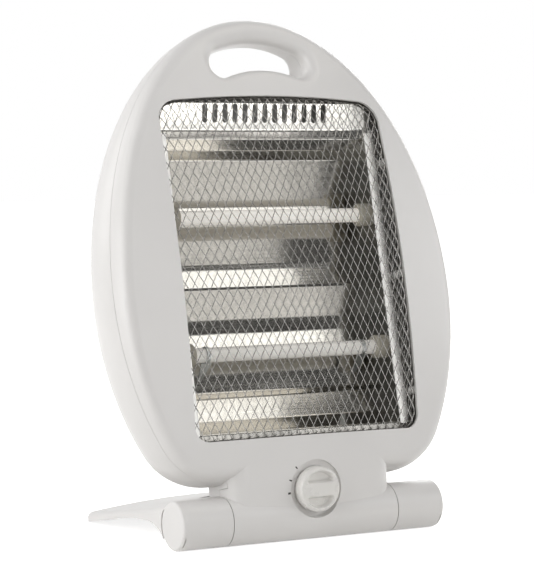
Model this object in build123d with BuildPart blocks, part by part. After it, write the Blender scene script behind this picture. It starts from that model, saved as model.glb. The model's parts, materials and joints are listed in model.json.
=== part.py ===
"""Two-tube quartz heater with a carrying slot, a folding foot and a rotary switch.

Millimetres. X runs to the right as the heater is seen from the front, Y runs to the back and
Z is up. The origin is on the floor, under the middle of the whole heater. The casing leans
back about the hinge axis, so its own sizes are given in a leaning frame: across to the right,
height up the lean from the hinge axis, and depth towards the front of the hinge axis.
"""
import os
from math import atan2, cos, degrees, hypot, radians, sin, sqrt

from build123d import *

os.makedirs("parts", exist_ok=True)

# Stance
lean_angle = 14.0
foot_reach = 138.0

# Hinge barrel across the front, in three lengths on one axle
barrel_radius = 16.5
barrel_half_length = 101.0
neck_half_width = 63.5
hinge_gap = 0.6
washer_thickness = 0.5
washer_radius = 7.0
axle_radius = 3.0
running_clearance = 0.06

# Casing
wall = 2.5
casing_half_width = 133.4
casing_top = 345.0
widest_height = 150.0
tail_height = -26.0
casing_bottom = 24.0
bottom_corner_radius = 45.0
casing_front = 32.5
casing_rear = -47.0
front_shoulder_radius = 35.0
rear_shoulder_radius = 41.0
front_dome_radius = 750.0
front_dome_depth = 32.0
front_dome_height = 159.0
rear_dome_radius = 600.0
rear_dome_depth = -46.0
rear_dome_height = 140.0
crease_radius = 10.0
neck_rear = -18.0
neck_front_corner_radius = 15.0
neck_rear_corner_radius = 4.0
seam_crest_depth = 11.5
seam_crest_height = 120.0
seam_radius = 2200.0
seam_gap = 0.25
seam_step_height = 21.0

# Carrying slot
slot_half_width = 37.8
slot_height = 21.4
slot_crown_below_top = 17.4
slot_arch_radius = 76.5
slot_floor_radius = 72.0
slot_upper_corner = 12.0
slot_lower_corner = 8.0
slot_lip_radius = 7.5
slot_wall = 5.0

# Grille opening and the mesh tray behind it
opening_half_width = 86.6
opening_bottom = 51.3
opening_top = 286.0
opening_arch = 3.6
opening_top_corner = 16.0
opening_bottom_corner = 10.0
mesh_thickness = 0.8
mesh_clearance = 0.5
mesh_recess = 0.8
mesh_bulge = 7.0
mesh_rim_depth = 9.0
mesh_rim_width = 6.0

# Screwed posts that hold the mesh and the reflector to the front shell
post_radius = 2.8
post_across = 89.7
post_heights = (78.0, 160.0, 240.0)
small_screw_radius = 1.1
small_screw_head_radius = 2.2
small_screw_head_height = 1.3
small_screw_grip = 8.0

# Bosses and long screws that join the two shells
boss_radius = 5.5
boss_places = ((106.0, 215.0), (106.0, 100.0), (56.0, 300.0), (49.0, 34.0))
shell_screw_radius = 1.75
shell_screw_head_radius = 3.4
shell_screw_head_height = 2.4
shell_screw_seat = -14.0
shell_screw_tip = 14.6
shell_screw_spare = 0.4

# Rear vents
vent_width = 3.2
vent_length = 30.0
vent_pitch = 9.0
vent_count = 15
vent_heights = (262.0, 100.0)

# Quartz tubes, their coils and their ceramic ends
tube_radius = 5.0
tube_bore_radius = 4.0
tube_half_length = 77.0
tube_heights = {"upper": 206.0, "lower": 112.0}
tube_depth = -2.0
coil_radius = 3.0
coil_half_length = 70.0
ceramic_inner_face = 71.0
ceramic_radius = 8.0
ceramic_edge = 1.0
ceramic_neck_radius = 6.3
ceramic_neck_length = 9.0
ceramic_fit = 0.1
clip_ring_radius = 9.0
clip_ring_thickness = 1.0
lug_across = 61.0
lug_drop = 15.0
lug_root_width = 8.0
lug_tip_width = 2.5
lead_radius = 0.6
lead_half_length = 86.0

# Reflector
sheet = 0.8
reflector_half_width = 82.0
trough_back = -22.0
trough_shoulder_depth = -8.0
trough_shoulder_offset = 42.0
ridge_depth = -14.0
reflector_lip_depth = 7.5
reflector_lip_height = 260.0
reflector_foot_height = 58.0
vent_plate_lower = 264.7
vent_plate_upper = 283.0
vent_plate_front = 17.5
plate_slot_count = 13
plate_slot_pitch = 8.0
plate_slot_width = 3.8
plate_slot_length = 14.0
end_flange_reach = 92.0
end_flange_low = 64.0

# Control knob and rotary switch
knob_height = 15.5
knob_radius = 15.2
knob_proud = 6.4
knob_edge = 1.2
knob_pocket_radius = 12.5
knob_grip_half = 5.0
knob_pocket_depth = 4.6
recess_radius = 19.5
recess_depth = 3.0
knob_float = 0.5
shaft_radius = 3.0
shaft_flat = 2.1
switch_width = 26.0
switch_tall = 22.0
switch_depth = 14.0

# Tip-over switch beside the rotary switch
tip_across = -31.0
tip_height = 31.0
tip_depth = 3.0
tip_body_width = 18.0
tip_body_tall = 7.0
tip_body_deep = 15.0
tip_cheek_inside = 3.0
tip_cheek_outside = 4.5
tip_cheek_drop = 4.5
tip_pin_radius = 1.0
tip_eye_radius = 2.2
tip_eye_half = 2.5
tip_rod_radius = 1.2
tip_drop = 13.0
tip_weight_radius = 5.5
tip_weight_length = 9.0

# Terminal block, round seats on the rear shell, cut-out and cord bush
block_across = 30.0
block_height = 31.0
block_depth = 3.0
block_width = 22.0
block_tall = 12.0
block_deep = 15.0
seat_radius = 2.5
seat_spread = 6.0
cutout_across = 34.0
cutout_radius = 8.0
cutout_thickness = 9.0
cutout_seat = 0.4
bush_across = 55.0
bush_height = 72.0
bush_radius = 5.0
bush_bore_radius = 3.4
bush_flange_radius = 7.5
bush_flange_thickness = 2.0
bush_length = 9.0
wire_radius = 1.2
wire_bend = 3.0
wire_across = 94.5
wire_turn_height = 92.0
wire_low_across = 88.0
wire_low_height = 62.0
wire_neck_across = 60.0
wire_neck_height = 43.5
wire_depth = -14.0

# Folding foot
foot_wall = 2.6
foot_half_width = 101.0
foot_tip_height = 5.6
foot_shoulder_height = 26.8
foot_shoulder_reach = 14.0
foot_start_reach = 3.0
foot_crown = 7.4
foot_side_radius = 4.0
foot_corner_radius = 9.0
rest_strip = 4.0
skirt_points = ((105.0, 5.2), (79.4, 10.4), (59.0, 13.6), (36.0, 15.0))
skirt_curve_point = (22.5, 12.2)
skirt_root_angle = -42.0
foot_front_reach = 34.0
knuckle_cap_thickness = 2.4
knuckle_cap_edge = 2.0
cap_gap = 0.2
cap_spigot_length = 6.0
pry_slot_angle = -35.0
web_thickness = 4.0
outer_web_place = 84.0
axle_clip_radius = 5.5
axle_clip_thickness = 1.2
axle_clip_gap = 0.3
axle_spare = 1.1


def dome_depth(across, height):
    """Depth of the casing's front skin at a place across and up it."""
    away = hypot(across, height - front_dome_height)
    return front_dome_depth - front_dome_radius + sqrt(front_dome_radius**2 - away**2)


# The knob stands out furthest in front and the foot reaches furthest back, and the origin is
# half way between the two.
knob_surface_depth = dome_depth(0, knob_height)
knob_front_reach = (
    knob_surface_depth * cos(radians(lean_angle)) - knob_height * sin(radians(lean_angle)) + knob_proud
)
axis_y = (knob_front_reach - foot_reach) / 2

body_plane = Plane(
    origin=(0, axis_y, barrel_radius),
    x_dir=(1, 0, 0),
    z_dir=(0, -cos(radians(lean_angle)), sin(radians(lean_angle))),
)
depth_axis = Axis(body_plane.origin, body_plane.z_dir)
height_axis = Axis(body_plane.origin, body_plane.y_dir)
hinge_centre = body_plane.origin


def at_depth(depth):
    """Plane across the casing at a depth in front of the hinge axis."""
    return body_plane.offset(depth)


def body_point(across, height, depth):
    """Point of the leaning frame."""
    return body_plane.from_local_coords(Vector(across, height, depth))


def across_plane(across):
    """Plane that cuts the casing from front to back, with height along x and depth along y."""
    return Plane(origin=body_point(across, 0, 0), x_dir=body_plane.y_dir, z_dir=body_plane.x_dir)


knob_plane = Plane(origin=body_point(0, knob_height, knob_surface_depth), x_dir=(1, 0, 0), z_dir=(0, -1, 0))


def finish(part, name):
    """Name a finished piece and write it out."""
    part.label = name
    export_step(part, f"parts/{name}.step")


# Casing forms


def egg_outline(inset):
    """Outline of the casing, pulled in by inset."""
    half_width = casing_half_width - inset
    upper_reach = casing_top - widest_height - inset
    lower_reach = widest_height - tail_height - inset
    with BuildSketch() as outline:
        with BuildLine():
            EllipticalCenterArc((0, widest_height), half_width, upper_reach, start_angle=0, arc_size=180)
            EllipticalCenterArc((0, widest_height), half_width, lower_reach, start_angle=180, arc_size=180)
        make_face()
        with Locations((0, casing_bottom + inset)):
            Rectangle(
                3 * casing_half_width, 3 * casing_top, align=(Align.CENTER, Align.MIN), mode=Mode.INTERSECT
            )
        fillet(outline.vertices().group_by(Axis.Y)[0], bottom_corner_radius - inset)
    return outline.sketch


def slot_outline(grow):
    """Kidney outline of the carrying slot, let out by grow."""
    half_width = slot_half_width + grow
    arch_radius = slot_arch_radius + grow
    floor_radius = slot_floor_radius - grow
    arch_top = casing_top - slot_crown_below_top + grow
    floor_top = casing_top - slot_crown_below_top - slot_height - grow
    arch_end = arch_top - arch_radius + sqrt(arch_radius**2 - half_width**2)
    floor_end = floor_top - floor_radius + sqrt(floor_radius**2 - half_width**2)
    with BuildSketch() as outline:
        with BuildLine():
            ThreePointArc((-half_width, arch_end), (0, arch_top), (half_width, arch_end))
            Line((half_width, arch_end), (half_width, floor_end))
            ThreePointArc((half_width, floor_end), (0, floor_top), (-half_width, floor_end))
            Line((-half_width, floor_end), (-half_width, arch_end))
        make_face()
        fillet(outline.vertices().group_by(Axis.Y)[0], slot_lower_corner + grow)
        fillet(outline.vertices().group_by(Axis.Y)[-1], slot_upper_corner + grow)
    return outline.sketch


def casing_form(inset):
    """Egg-shaped block with domed front and back and rounded shoulders, pulled in by inset."""
    front_centre = body_point(0, front_dome_height, front_dome_depth - front_dome_radius)
    rear_centre = body_point(0, rear_dome_height, rear_dome_depth + rear_dome_radius)
    with BuildPart() as form:
        with BuildSketch(at_depth(casing_rear + inset)):
            add(egg_outline(inset))
        extrude(amount=casing_front - casing_rear - 2 * inset)
        fillet(form.faces().sort_by(depth_axis)[-1].edges(), front_shoulder_radius - inset)
        fillet(form.faces().sort_by(depth_axis)[0].edges(), rear_shoulder_radius - inset)
        with Locations(front_centre):
            Sphere(front_dome_radius - inset, mode=Mode.INTERSECT)
        with Locations(rear_centre):
            Sphere(rear_dome_radius - inset, mode=Mode.INTERSECT)
        domes = form.faces().filter_by(GeomType.SPHERE).sort_by(depth_axis)
        fillet(domes[-1].outer_wire().edges(), crease_radius - inset)
        domes = form.faces().filter_by(GeomType.SPHERE).sort_by(depth_axis)
        fillet(domes[0].outer_wire().edges(), crease_radius - inset)
    return form.part


def neck_form(inset):
    """Solid of the neck and the casing's share of the hinge barrel, pulled in by inset."""
    front_centre = body_point(0, front_dome_height, front_dome_depth - front_dome_radius)
    with BuildPart() as neck:
        with BuildSketch(at_depth(neck_rear + inset)):
            Rectangle(
                2 * (neck_half_width - inset),
                casing_bottom + bottom_corner_radius,
                align=(Align.CENTER, Align.MIN),
            )
        extrude(amount=casing_front - neck_rear)
        rear_face = neck.faces().sort_by(depth_axis)[0]
        fillet(rear_face.edges().filter_by(height_axis), neck_rear_corner_radius - inset)
        with Locations(front_centre):
            Sphere(front_dome_radius - inset, mode=Mode.INTERSECT)
        front_edges = neck.faces().filter_by(GeomType.SPHERE)[0].edges().sort_by(Axis.X)
        fillet([front_edges[0], front_edges[-1]], neck_front_corner_radius - inset)
        with Locations(hinge_centre):
            Cylinder(barrel_radius - inset, 2 * (neck_half_width - inset), rotation=(0, 90, 0))
    return neck.part


def opening_outline(grow):
    """Grille opening with its arched top, let out by grow."""
    with BuildSketch() as outline:
        with BuildLine():
            Polyline(
                (-opening_half_width, opening_top - opening_arch),
                (-opening_half_width, opening_bottom),
                (opening_half_width, opening_bottom),
                (opening_half_width, opening_top - opening_arch),
            )
            ThreePointArc(
                (-opening_half_width, opening_top - opening_arch),
                (0, opening_top),
                (opening_half_width, opening_top - opening_arch),
            )
        make_face()
        corners = outline.vertices().sort_by(Axis.Y)
        fillet(corners[:2], opening_bottom_corner)
        fillet(outline.vertices().sort_by(Axis.Y)[-2:], opening_top_corner)
        if grow:
            offset(amount=grow, mode=Mode.REPLACE)
    return outline.sketch


def seam_region(gap):
    """Everything in front of the arched seam, which steps back to the hinge axis at the neck."""
    step = seam_step_height + gap
    half_chord = casing_top - seam_crest_height
    drop = seam_radius - sqrt(seam_radius**2 - half_chord**2)
    start_drop = seam_radius - sqrt(seam_radius**2 - (seam_crest_height - step) ** 2)
    end = seam_crest_depth - gap - drop
    with BuildPart() as region:
        with BuildSketch(across_plane(0)):
            with BuildLine():
                ThreePointArc(
                    (step, seam_crest_depth - gap - start_drop),
                    (seam_crest_height, seam_crest_depth - gap),
                    (casing_top, end),
                )
                Polyline(
                    (casing_top, end),
                    (2 * casing_top, end),
                    (2 * casing_top, 3 * casing_front),
                    (-casing_top, 3 * casing_front),
                    (-casing_top, -gap),
                    (step, -gap),
                    (step, seam_crest_depth - gap - start_drop),
                )
            make_face()
        extrude(amount=2 * casing_half_width, both=True)
    return region.part


def boss_pins(radius, back, front):
    """Round bars at every shell screw, from one depth to another."""
    with BuildPart() as pins:
        with BuildSketch(at_depth(back)):
            for across, height in boss_places:
                with Locations((across, height), (-across, height)):
                    Circle(radius)
        extrude(amount=front - back)
    return pins.part


def post_pins(radius, back, front):
    """Round bars at every grille post, from one depth to another."""
    with BuildPart() as pins:
        with BuildSketch(at_depth(back)):
            for height in post_heights:
                with Locations((post_across, height), (-post_across, height)):
                    Circle(radius)
        extrude(amount=front - back)
    return pins.part


def recess_backing():
    """Thickened floor behind the knob's recess."""
    with BuildPart() as backing:
        with BuildSketch(knob_plane.offset(-recess_depth - wall)):
            Circle(recess_radius + wall)
        extrude(amount=recess_depth + wall + knob_proud)
    return backing.part


def hinge_ends():
    """Thick walls at both ends of the casing's share of the barrel, which hold the axle."""
    with BuildPart() as ends:
        for side in (-1, 1):
            with Locations((side * (neck_half_width - web_thickness / 2), hinge_centre.Y, hinge_centre.Z)):
                Cylinder(barrel_radius, web_thickness, rotation=(0, 90, 0))
    return ends.part


def seat_pins(front):
    """Round seats that carry the terminal block and the tip-over switch, up to a depth."""
    with BuildPart() as pins:
        with BuildSketch(at_depth(casing_rear)):
            with Locations((tip_across, tip_height), (block_across, block_height)):
                with Locations((seat_spread, 0), (-seat_spread, 0)):
                    Circle(seat_radius)
        extrude(amount=front - casing_rear)
    return pins.part


def vent_slots():
    """Two rows of upright slots that pass through the rear wall."""
    with BuildPart() as slots:
        with BuildSketch(at_depth(casing_rear - wall)):
            for height in vent_heights:
                with Locations((0, height)):
                    with GridLocations(vent_pitch, 0, vent_count, 1):
                        SlotOverall(vent_length, vent_width, rotation=90)
        extrude(amount=-2 * shell_screw_seat)
    return slots.part


casing_middle = casing_form(wall / 2)
mesh_rim_front = mesh_rim_depth + mesh_thickness
seat_front = tip_depth - tip_body_deep / 2

# The bush stands square to the domed rear wall.
dome_centre = body_point(0, rear_dome_height, rear_dome_depth + rear_dome_radius)
bush_lean = rear_dome_depth + rear_dome_radius - sqrt(
    rear_dome_radius**2 - bush_across**2 - (bush_height - rear_dome_height) ** 2
)
bush_centre = body_point(bush_across, bush_height, bush_lean)
bush_plane = Plane(origin=bush_centre, x_dir=(1, 0, 0), z_dir=bush_centre - dome_centre)

with BuildPart() as casing:
    add(casing_form(0))
    with BuildSketch(at_depth(0)):
        add(slot_outline(0))
    extrude(amount=casing_front - casing_rear, both=True, mode=Mode.SUBTRACT)
    domes = casing.faces().filter_by(GeomType.SPHERE)
    for lip in [wire for dome in domes for wire in dome.inner_wires()]:
        fillet(lip.edges(), slot_lip_radius)
    add(neck_form(0))

with BuildPart() as hollow:
    add(casing_form(wall))
    with BuildSketch(at_depth(0)):
        add(slot_outline(slot_wall))
    extrude(amount=casing_front - casing_rear, both=True, mode=Mode.SUBTRACT)
    add(neck_form(wall))
    add(recess_backing(), mode=Mode.SUBTRACT)
    add(hinge_ends(), mode=Mode.SUBTRACT)

with BuildPart() as shell:
    add(casing.part)
    add(hollow.part, mode=Mode.SUBTRACT)
    with BuildSketch(knob_plane.offset(-recess_depth)):
        Circle(recess_radius)
    extrude(amount=recess_depth + knob_proud, mode=Mode.SUBTRACT)
    with BuildSketch(knob_plane):
        Circle(shaft_radius + hinge_gap)
    extrude(amount=-2 * barrel_radius, mode=Mode.SUBTRACT)
    with Locations(hinge_centre):
        Cylinder(
            axle_radius + running_clearance,
            2 * barrel_half_length,
            rotation=(0, 90, 0),
            mode=Mode.SUBTRACT,
        )

with BuildPart() as bosses:
    add(boss_pins(boss_radius, casing_rear, casing_front))
    add(seat_pins(seat_front))
    add(casing_middle, mode=Mode.INTERSECT)

with BuildPart() as posts:
    add(post_pins(post_radius, mesh_rim_front, casing_front))
    add(casing_middle, mode=Mode.INTERSECT)
    add(
        post_pins(small_screw_radius + running_clearance, 0, mesh_rim_front + small_screw_grip),
        mode=Mode.SUBTRACT,
    )

with BuildPart() as front_shell:
    add(shell.part)
    add(bosses.part)
    add(seam_region(0), mode=Mode.INTERSECT)
    with BuildSketch(at_depth(mesh_rim_depth)):
        add(opening_outline(0))
    extrude(amount=casing_front, mode=Mode.SUBTRACT)
    add(
        boss_pins(shell_screw_radius + running_clearance, 0, shell_screw_tip + shell_screw_spare),
        mode=Mode.SUBTRACT,
    )
    add(posts.part)
finish(front_shell.part, "front_shell")

with BuildPart() as rear_shell:
    add(shell.part)
    add(bosses.part)
    add(seam_region(seam_gap), mode=Mode.SUBTRACT)
    add(boss_pins(shell_screw_radius + hinge_gap, casing_rear, seam_crest_depth), mode=Mode.SUBTRACT)
    add(boss_pins(shell_screw_head_radius + hinge_gap, 2 * casing_rear, shell_screw_seat), mode=Mode.SUBTRACT)
    add(vent_slots(), mode=Mode.SUBTRACT)
    with BuildSketch(bush_plane.offset(wall)):
        Circle(bush_radius + running_clearance)
    extrude(amount=-3 * wall, mode=Mode.SUBTRACT)
finish(rear_shell.part, "rear_shell")

# Grille mesh


def mesh_face(drop):
    """Domed front of the mesh, lowered by drop, which bulges between its four edges."""
    reach_across = opening_half_width + mesh_rim_width
    low = opening_bottom - mesh_rim_width
    high = opening_top + mesh_rim_width
    middle = (opening_bottom + opening_top) / 2
    half_tall = (opening_top - opening_bottom) / 2
    columns = 9
    rows = 11
    points = []
    for row in range(rows):
        height = low + (high - low) * row / (rows - 1)
        line = []
        for column in range(columns):
            across = reach_across * (2 * column / (columns - 1) - 1)
            bulge = (1 - (across / opening_half_width) ** 2) * (1 - ((height - middle) / half_tall) ** 2)
            depth = dome_depth(across, height) - mesh_recess + mesh_bulge * max(bulge, 0) - drop
            line.append(body_point(across, height, depth))
        points.append(line)
    return Face.make_surface_from_array_of_points(points)


def tray_block(inset, base, drop):
    """Mesh outline pulled in by inset, from a depth up to its domed front."""
    with BuildPart() as block:
        with BuildSketch(at_depth(base)):
            add(opening_outline(-mesh_clearance - inset))
        extrude(amount=2 * casing_front)
        split(bisect_by=mesh_face(drop), keep=Keep.TOP)
    return block.part


with BuildPart() as grille_mesh:
    add(tray_block(0, mesh_rim_depth, 0))
    with BuildSketch(at_depth(mesh_rim_depth)):
        add(opening_outline(mesh_rim_width))
    extrude(amount=mesh_thickness)
    add(tray_block(mesh_thickness, mesh_rim_depth - sheet, mesh_thickness), mode=Mode.SUBTRACT)
    add(post_pins(small_screw_radius + running_clearance, 0, casing_front), mode=Mode.SUBTRACT)
finish(grille_mesh.part, "grille_mesh")

# Reflector


def trough_line():
    """Section of the folded reflector: height along x and depth along y."""
    ridge_height = (tube_heights["upper"] + tube_heights["lower"]) / 2
    with BuildLine() as line:
        Line((vent_plate_upper, vent_plate_front), (vent_plate_lower, reflector_lip_depth + sheet))
        Line((vent_plate_lower, reflector_lip_depth + sheet), (reflector_lip_height, reflector_lip_depth))
        Line(
            (reflector_lip_height, reflector_lip_depth),
            (tube_heights["upper"] + trough_shoulder_offset, trough_shoulder_depth),
        )
        ThreePointArc(
            (tube_heights["upper"] + trough_shoulder_offset, trough_shoulder_depth),
            (tube_heights["upper"], trough_back),
            (ridge_height, ridge_depth),
        )
        ThreePointArc(
            (ridge_height, ridge_depth),
            (tube_heights["lower"], trough_back),
            (tube_heights["lower"] - trough_shoulder_offset, trough_shoulder_depth),
        )
        Line(
            (tube_heights["lower"] - trough_shoulder_offset, trough_shoulder_depth),
            (reflector_foot_height, reflector_lip_depth),
        )
        Line(
            (reflector_foot_height, reflector_lip_depth),
            (opening_bottom - mesh_rim_width, reflector_lip_depth),
        )
    return line.line


def mesh_surround():
    """Everything beside the mesh tray, in front of its rim."""
    with BuildPart() as surround:
        with BuildSketch(at_depth(mesh_rim_depth - sheet)):
            Rectangle(4 * opening_half_width, 4 * opening_top)
            add(opening_outline(-mesh_clearance - mesh_thickness - hinge_gap), mode=Mode.SUBTRACT)
        extrude(amount=casing_front)
    return surround.part


with BuildPart() as reflector:
    with BuildSketch(across_plane(0)):
        with BuildLine():
            add(trough_line())
        trace(line_width=sheet)
    extrude(amount=reflector_half_width, both=True)
    slope = degrees(atan2(vent_plate_upper - vent_plate_lower, vent_plate_front - reflector_lip_depth))
    middle_depth = (vent_plate_front + reflector_lip_depth) / 2
    middle_height = (vent_plate_upper + vent_plate_lower) / 2
    slope_plane = Plane(
        origin=body_point(0, middle_height, middle_depth),
        x_dir=(1, 0, 0),
        z_dir=body_plane.z_dir * sin(radians(slope)) - body_plane.y_dir * cos(radians(slope)),
    )
    with BuildSketch(slope_plane):
        with GridLocations(plate_slot_pitch, 0, plate_slot_count, 1):
            SlotOverall(plate_slot_length, plate_slot_width, rotation=90)
    extrude(amount=2 * sheet, both=True, mode=Mode.SUBTRACT)
    add(mesh_surround(), mode=Mode.SUBTRACT)
finish(reflector.part, "reflector")


def end_plate(side):
    """Side wall of the reflector with a front flange, on the right for side 1."""
    back = trough_back - 3 * sheet
    low = opening_bottom - mesh_rim_width
    flange_front = mesh_rim_depth - running_clearance
    with BuildPart() as plate:
        with BuildSketch(across_plane(side * reflector_half_width)):
            with BuildLine():
                Polyline(
                    (low, flange_front),
                    (vent_plate_lower, flange_front),
                    (vent_plate_upper, vent_plate_front),
                    (vent_plate_upper, reflector_lip_depth),
                    (tube_heights["upper"] + trough_shoulder_offset / 2, back),
                    (tube_heights["lower"] - trough_shoulder_offset / 2, back),
                    (low, 0),
                    close=True,
                )
            make_face()
            for height in tube_heights.values():
                with Locations((height, tube_depth)):
                    Circle(ceramic_neck_radius + ceramic_fit, mode=Mode.SUBTRACT)
        extrude(amount=side * sheet)
        add(mesh_surround(), mode=Mode.SUBTRACT)
        with BuildSketch(at_depth(flange_front)):
            with Locations((side * reflector_half_width, end_flange_low)):
                Rectangle(
                    end_flange_reach - reflector_half_width,
                    vent_plate_lower - end_flange_low,
                    align=(Align.MIN if side > 0 else Align.MAX, Align.MIN),
                )
        extrude(amount=-sheet)
        add(post_pins(small_screw_radius + running_clearance, 0, casing_front), mode=Mode.SUBTRACT)
    return plate.part


for side, word in ((-1, "left"), (1, "right")):
    finish(end_plate(side), f"reflector_end_{word}")

# Quartz tubes, coils and ceramic ends


def ceramic_cap(side, height):
    """Round ceramic block inside the reflector end, its neck passing out through the plate."""
    face = side * ceramic_inner_face
    block_length = reflector_half_width - ceramic_inner_face - ceramic_fit
    tube_seat = tube_half_length - ceramic_inner_face + ceramic_fit
    with BuildPart() as cap:
        with BuildSketch(across_plane(face)):
            with Locations((height, tube_depth)):
                Circle(ceramic_radius)
        extrude(amount=side * block_length)
        chamfer(cap.faces().sort_by(Axis.X)[0 if side > 0 else -1].edges(), ceramic_edge)
        with BuildSketch(across_plane(face)):
            with Locations((height, tube_depth)):
                Circle(ceramic_neck_radius)
        extrude(amount=side * (block_length + ceramic_neck_length))
        with BuildSketch(across_plane(face)):
            with Locations((height, tube_depth)):
                Circle(tube_radius + ceramic_fit)
        extrude(amount=side * tube_seat, mode=Mode.SUBTRACT)
        with BuildSketch(across_plane(face)):
            with Locations((height, tube_depth)):
                Circle(wire_radius + ceramic_fit)
        extrude(amount=side * (block_length + ceramic_neck_length), mode=Mode.SUBTRACT)
    return cap.part


for level, height in tube_heights.items():
    with BuildPart() as quartz_tube:
        with BuildSketch(across_plane(-tube_half_length)):
            with Locations((height, tube_depth)):
                Circle(tube_radius)
                Circle(tube_bore_radius, mode=Mode.SUBTRACT)
        extrude(amount=2 * tube_half_length)
    finish(quartz_tube.part, f"quartz_tube_{level}")
    with BuildPart() as heating_coil:
        with BuildSketch(across_plane(-coil_half_length)):
            with Locations((height, tube_depth)):
                Circle(coil_radius)
        extrude(amount=2 * coil_half_length)
        with BuildSketch(across_plane(-lead_half_length)):
            with Locations((height, tube_depth)):
                Circle(lead_radius)
        extrude(amount=2 * lead_half_length)
    finish(heating_coil.part, f"heating_coil_{level}")
    for side, word in ((-1, "left"), (1, "right")):
        finish(ceramic_cap(side, height), f"ceramic_cap_{level}_{word}")


def tube_lug(side):
    """Sheet lug from the trough that holds up the lower tube, with its eye round the tube."""
    height = tube_heights["lower"]
    run = Vector(0, -lug_drop, trough_back - tube_depth)
    start = body_point(side * lug_across, height - tube_radius - sheet / 2, tube_depth)
    direction = body_point(run.X, run.Y, run.Z) - hinge_centre
    lug_plane = Plane(origin=start, x_dir=(1, 0, 0), z_dir=Vector(1, 0, 0).cross(direction))
    length = run.length * (lug_drop - tube_radius) / lug_drop
    with BuildPart() as lug:
        with BuildSketch(across_plane(side * lug_across - lug_tip_width / 2)):
            with Locations((height, tube_depth)):
                Circle(tube_radius + sheet)
                Circle(tube_radius, mode=Mode.SUBTRACT)
        extrude(amount=lug_tip_width)
        with BuildSketch(lug_plane):
            with BuildLine():
                Polyline(
                    (-lug_root_width / 2, 0),
                    (lug_root_width / 2, 0),
                    (lug_tip_width / 2, length),
                    (-lug_tip_width / 2, length),
                    close=True,
                )
            make_face()
        extrude(amount=sheet / 2, both=True)
    return lug.part


with BuildPart() as tube_lugs:
    add(tube_lug(-1))
    add(tube_lug(1))
finish(tube_lugs.part, "lower_tube_lugs")

with BuildPart() as ceramic_clips:
    for height in tube_heights.values():
        for side in (-1, 1):
            with BuildSketch(across_plane(side * (reflector_half_width + sheet))):
                with Locations((height, tube_depth)):
                    Circle(clip_ring_radius)
                    Circle(ceramic_neck_radius + ceramic_fit, mode=Mode.SUBTRACT)
            extrude(amount=side * clip_ring_thickness)
finish(ceramic_clips.part, "ceramic_clips")

# Screws

with BuildPart() as shell_screws:
    add(boss_pins(shell_screw_radius, shell_screw_seat, shell_screw_tip))
    add(boss_pins(shell_screw_head_radius, shell_screw_seat - shell_screw_head_height, shell_screw_seat))
finish(shell_screws.part, "shell_screws")

with BuildPart() as grille_screws:
    flange_back = mesh_rim_depth - running_clearance - sheet
    add(post_pins(small_screw_radius, flange_back, mesh_rim_front + small_screw_grip - wall))
    add(post_pins(small_screw_head_radius, flange_back - small_screw_head_height, flange_back))
finish(grille_screws.part, "grille_screws")

# Control knob, shaft and rotary switch

switch_front = -recess_depth - wall
shaft_back = switch_front - switch_depth / 2


def shaft_section(grow):
    """Round shaft with one flat, let out by grow."""
    with BuildSketch() as section:
        Circle(shaft_radius + grow)
        with Locations((0, shaft_flat + grow)):
            Rectangle(3 * shaft_radius, shaft_radius, align=(Align.CENTER, Align.MIN), mode=Mode.SUBTRACT)
    return section.sketch


with BuildPart() as knob:
    with BuildSketch(knob_plane.offset(knob_float - recess_depth)):
        Circle(knob_radius)
    extrude(amount=recess_depth - knob_float + knob_proud)
    fillet(knob.faces().sort_by(Axis.Y)[0].edges(), knob_edge)
    with BuildSketch(knob_plane.offset(knob_proud)):
        Circle(knob_pocket_radius)
        Rectangle(2 * knob_radius, 2 * knob_grip_half, mode=Mode.SUBTRACT)
    extrude(amount=-knob_pocket_depth, mode=Mode.SUBTRACT)
    with BuildSketch(knob_plane.offset(knob_float - recess_depth)):
        add(shaft_section(running_clearance))
    extrude(amount=recess_depth - knob_float + knob_proud - wall, mode=Mode.SUBTRACT)
finish(knob.part, "control_knob")

with BuildPart() as switch_shaft:
    with BuildSketch(knob_plane.offset(knob_proud - wall - hinge_gap)):
        add(shaft_section(0))
    extrude(amount=knob_float - recess_depth - knob_proud + wall + hinge_gap)
    with BuildSketch(knob_plane.offset(knob_float - recess_depth)):
        Circle(shaft_radius)
    extrude(amount=shaft_back - knob_float + recess_depth)
finish(switch_shaft.part, "switch_shaft")

with BuildPart() as rotary_switch:
    with BuildSketch(knob_plane.offset(switch_front)):
        Rectangle(switch_width, switch_tall)
    extrude(amount=-switch_depth)
    with BuildSketch(knob_plane.offset(switch_front)):
        Circle(shaft_radius + running_clearance)
    extrude(amount=shaft_back - switch_front - hinge_gap, mode=Mode.SUBTRACT)
finish(rotary_switch.part, "rotary_switch")

# Tip-over switch with its hanging weight, and the terminal block

tip_pivot = body_point(tip_across, tip_height - tip_body_tall / 2 - tip_cheek_drop / 2, tip_depth)

with BuildPart() as tip_switch:
    with BuildSketch(at_depth(seat_front)):
        with Locations((tip_across, tip_height)):
            Rectangle(tip_body_width, tip_body_tall)
    extrude(amount=tip_body_deep)
    with BuildSketch(at_depth(tip_depth - tip_cheek_drop / 2)):
        for side in (-1, 1):
            middle = tip_across + side * (tip_cheek_inside + tip_cheek_outside) / 2
            with Locations((middle, tip_height - tip_body_tall / 2)):
                Rectangle(
                    tip_cheek_outside - tip_cheek_inside, tip_cheek_drop, align=(Align.CENTER, Align.MAX)
                )
    extrude(amount=tip_cheek_drop)
    with Locations(tip_pivot):
        Cylinder(tip_pin_radius, 2 * tip_cheek_outside, rotation=(0, 90, 0))
finish(tip_switch.part, "tip_switch")

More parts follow.
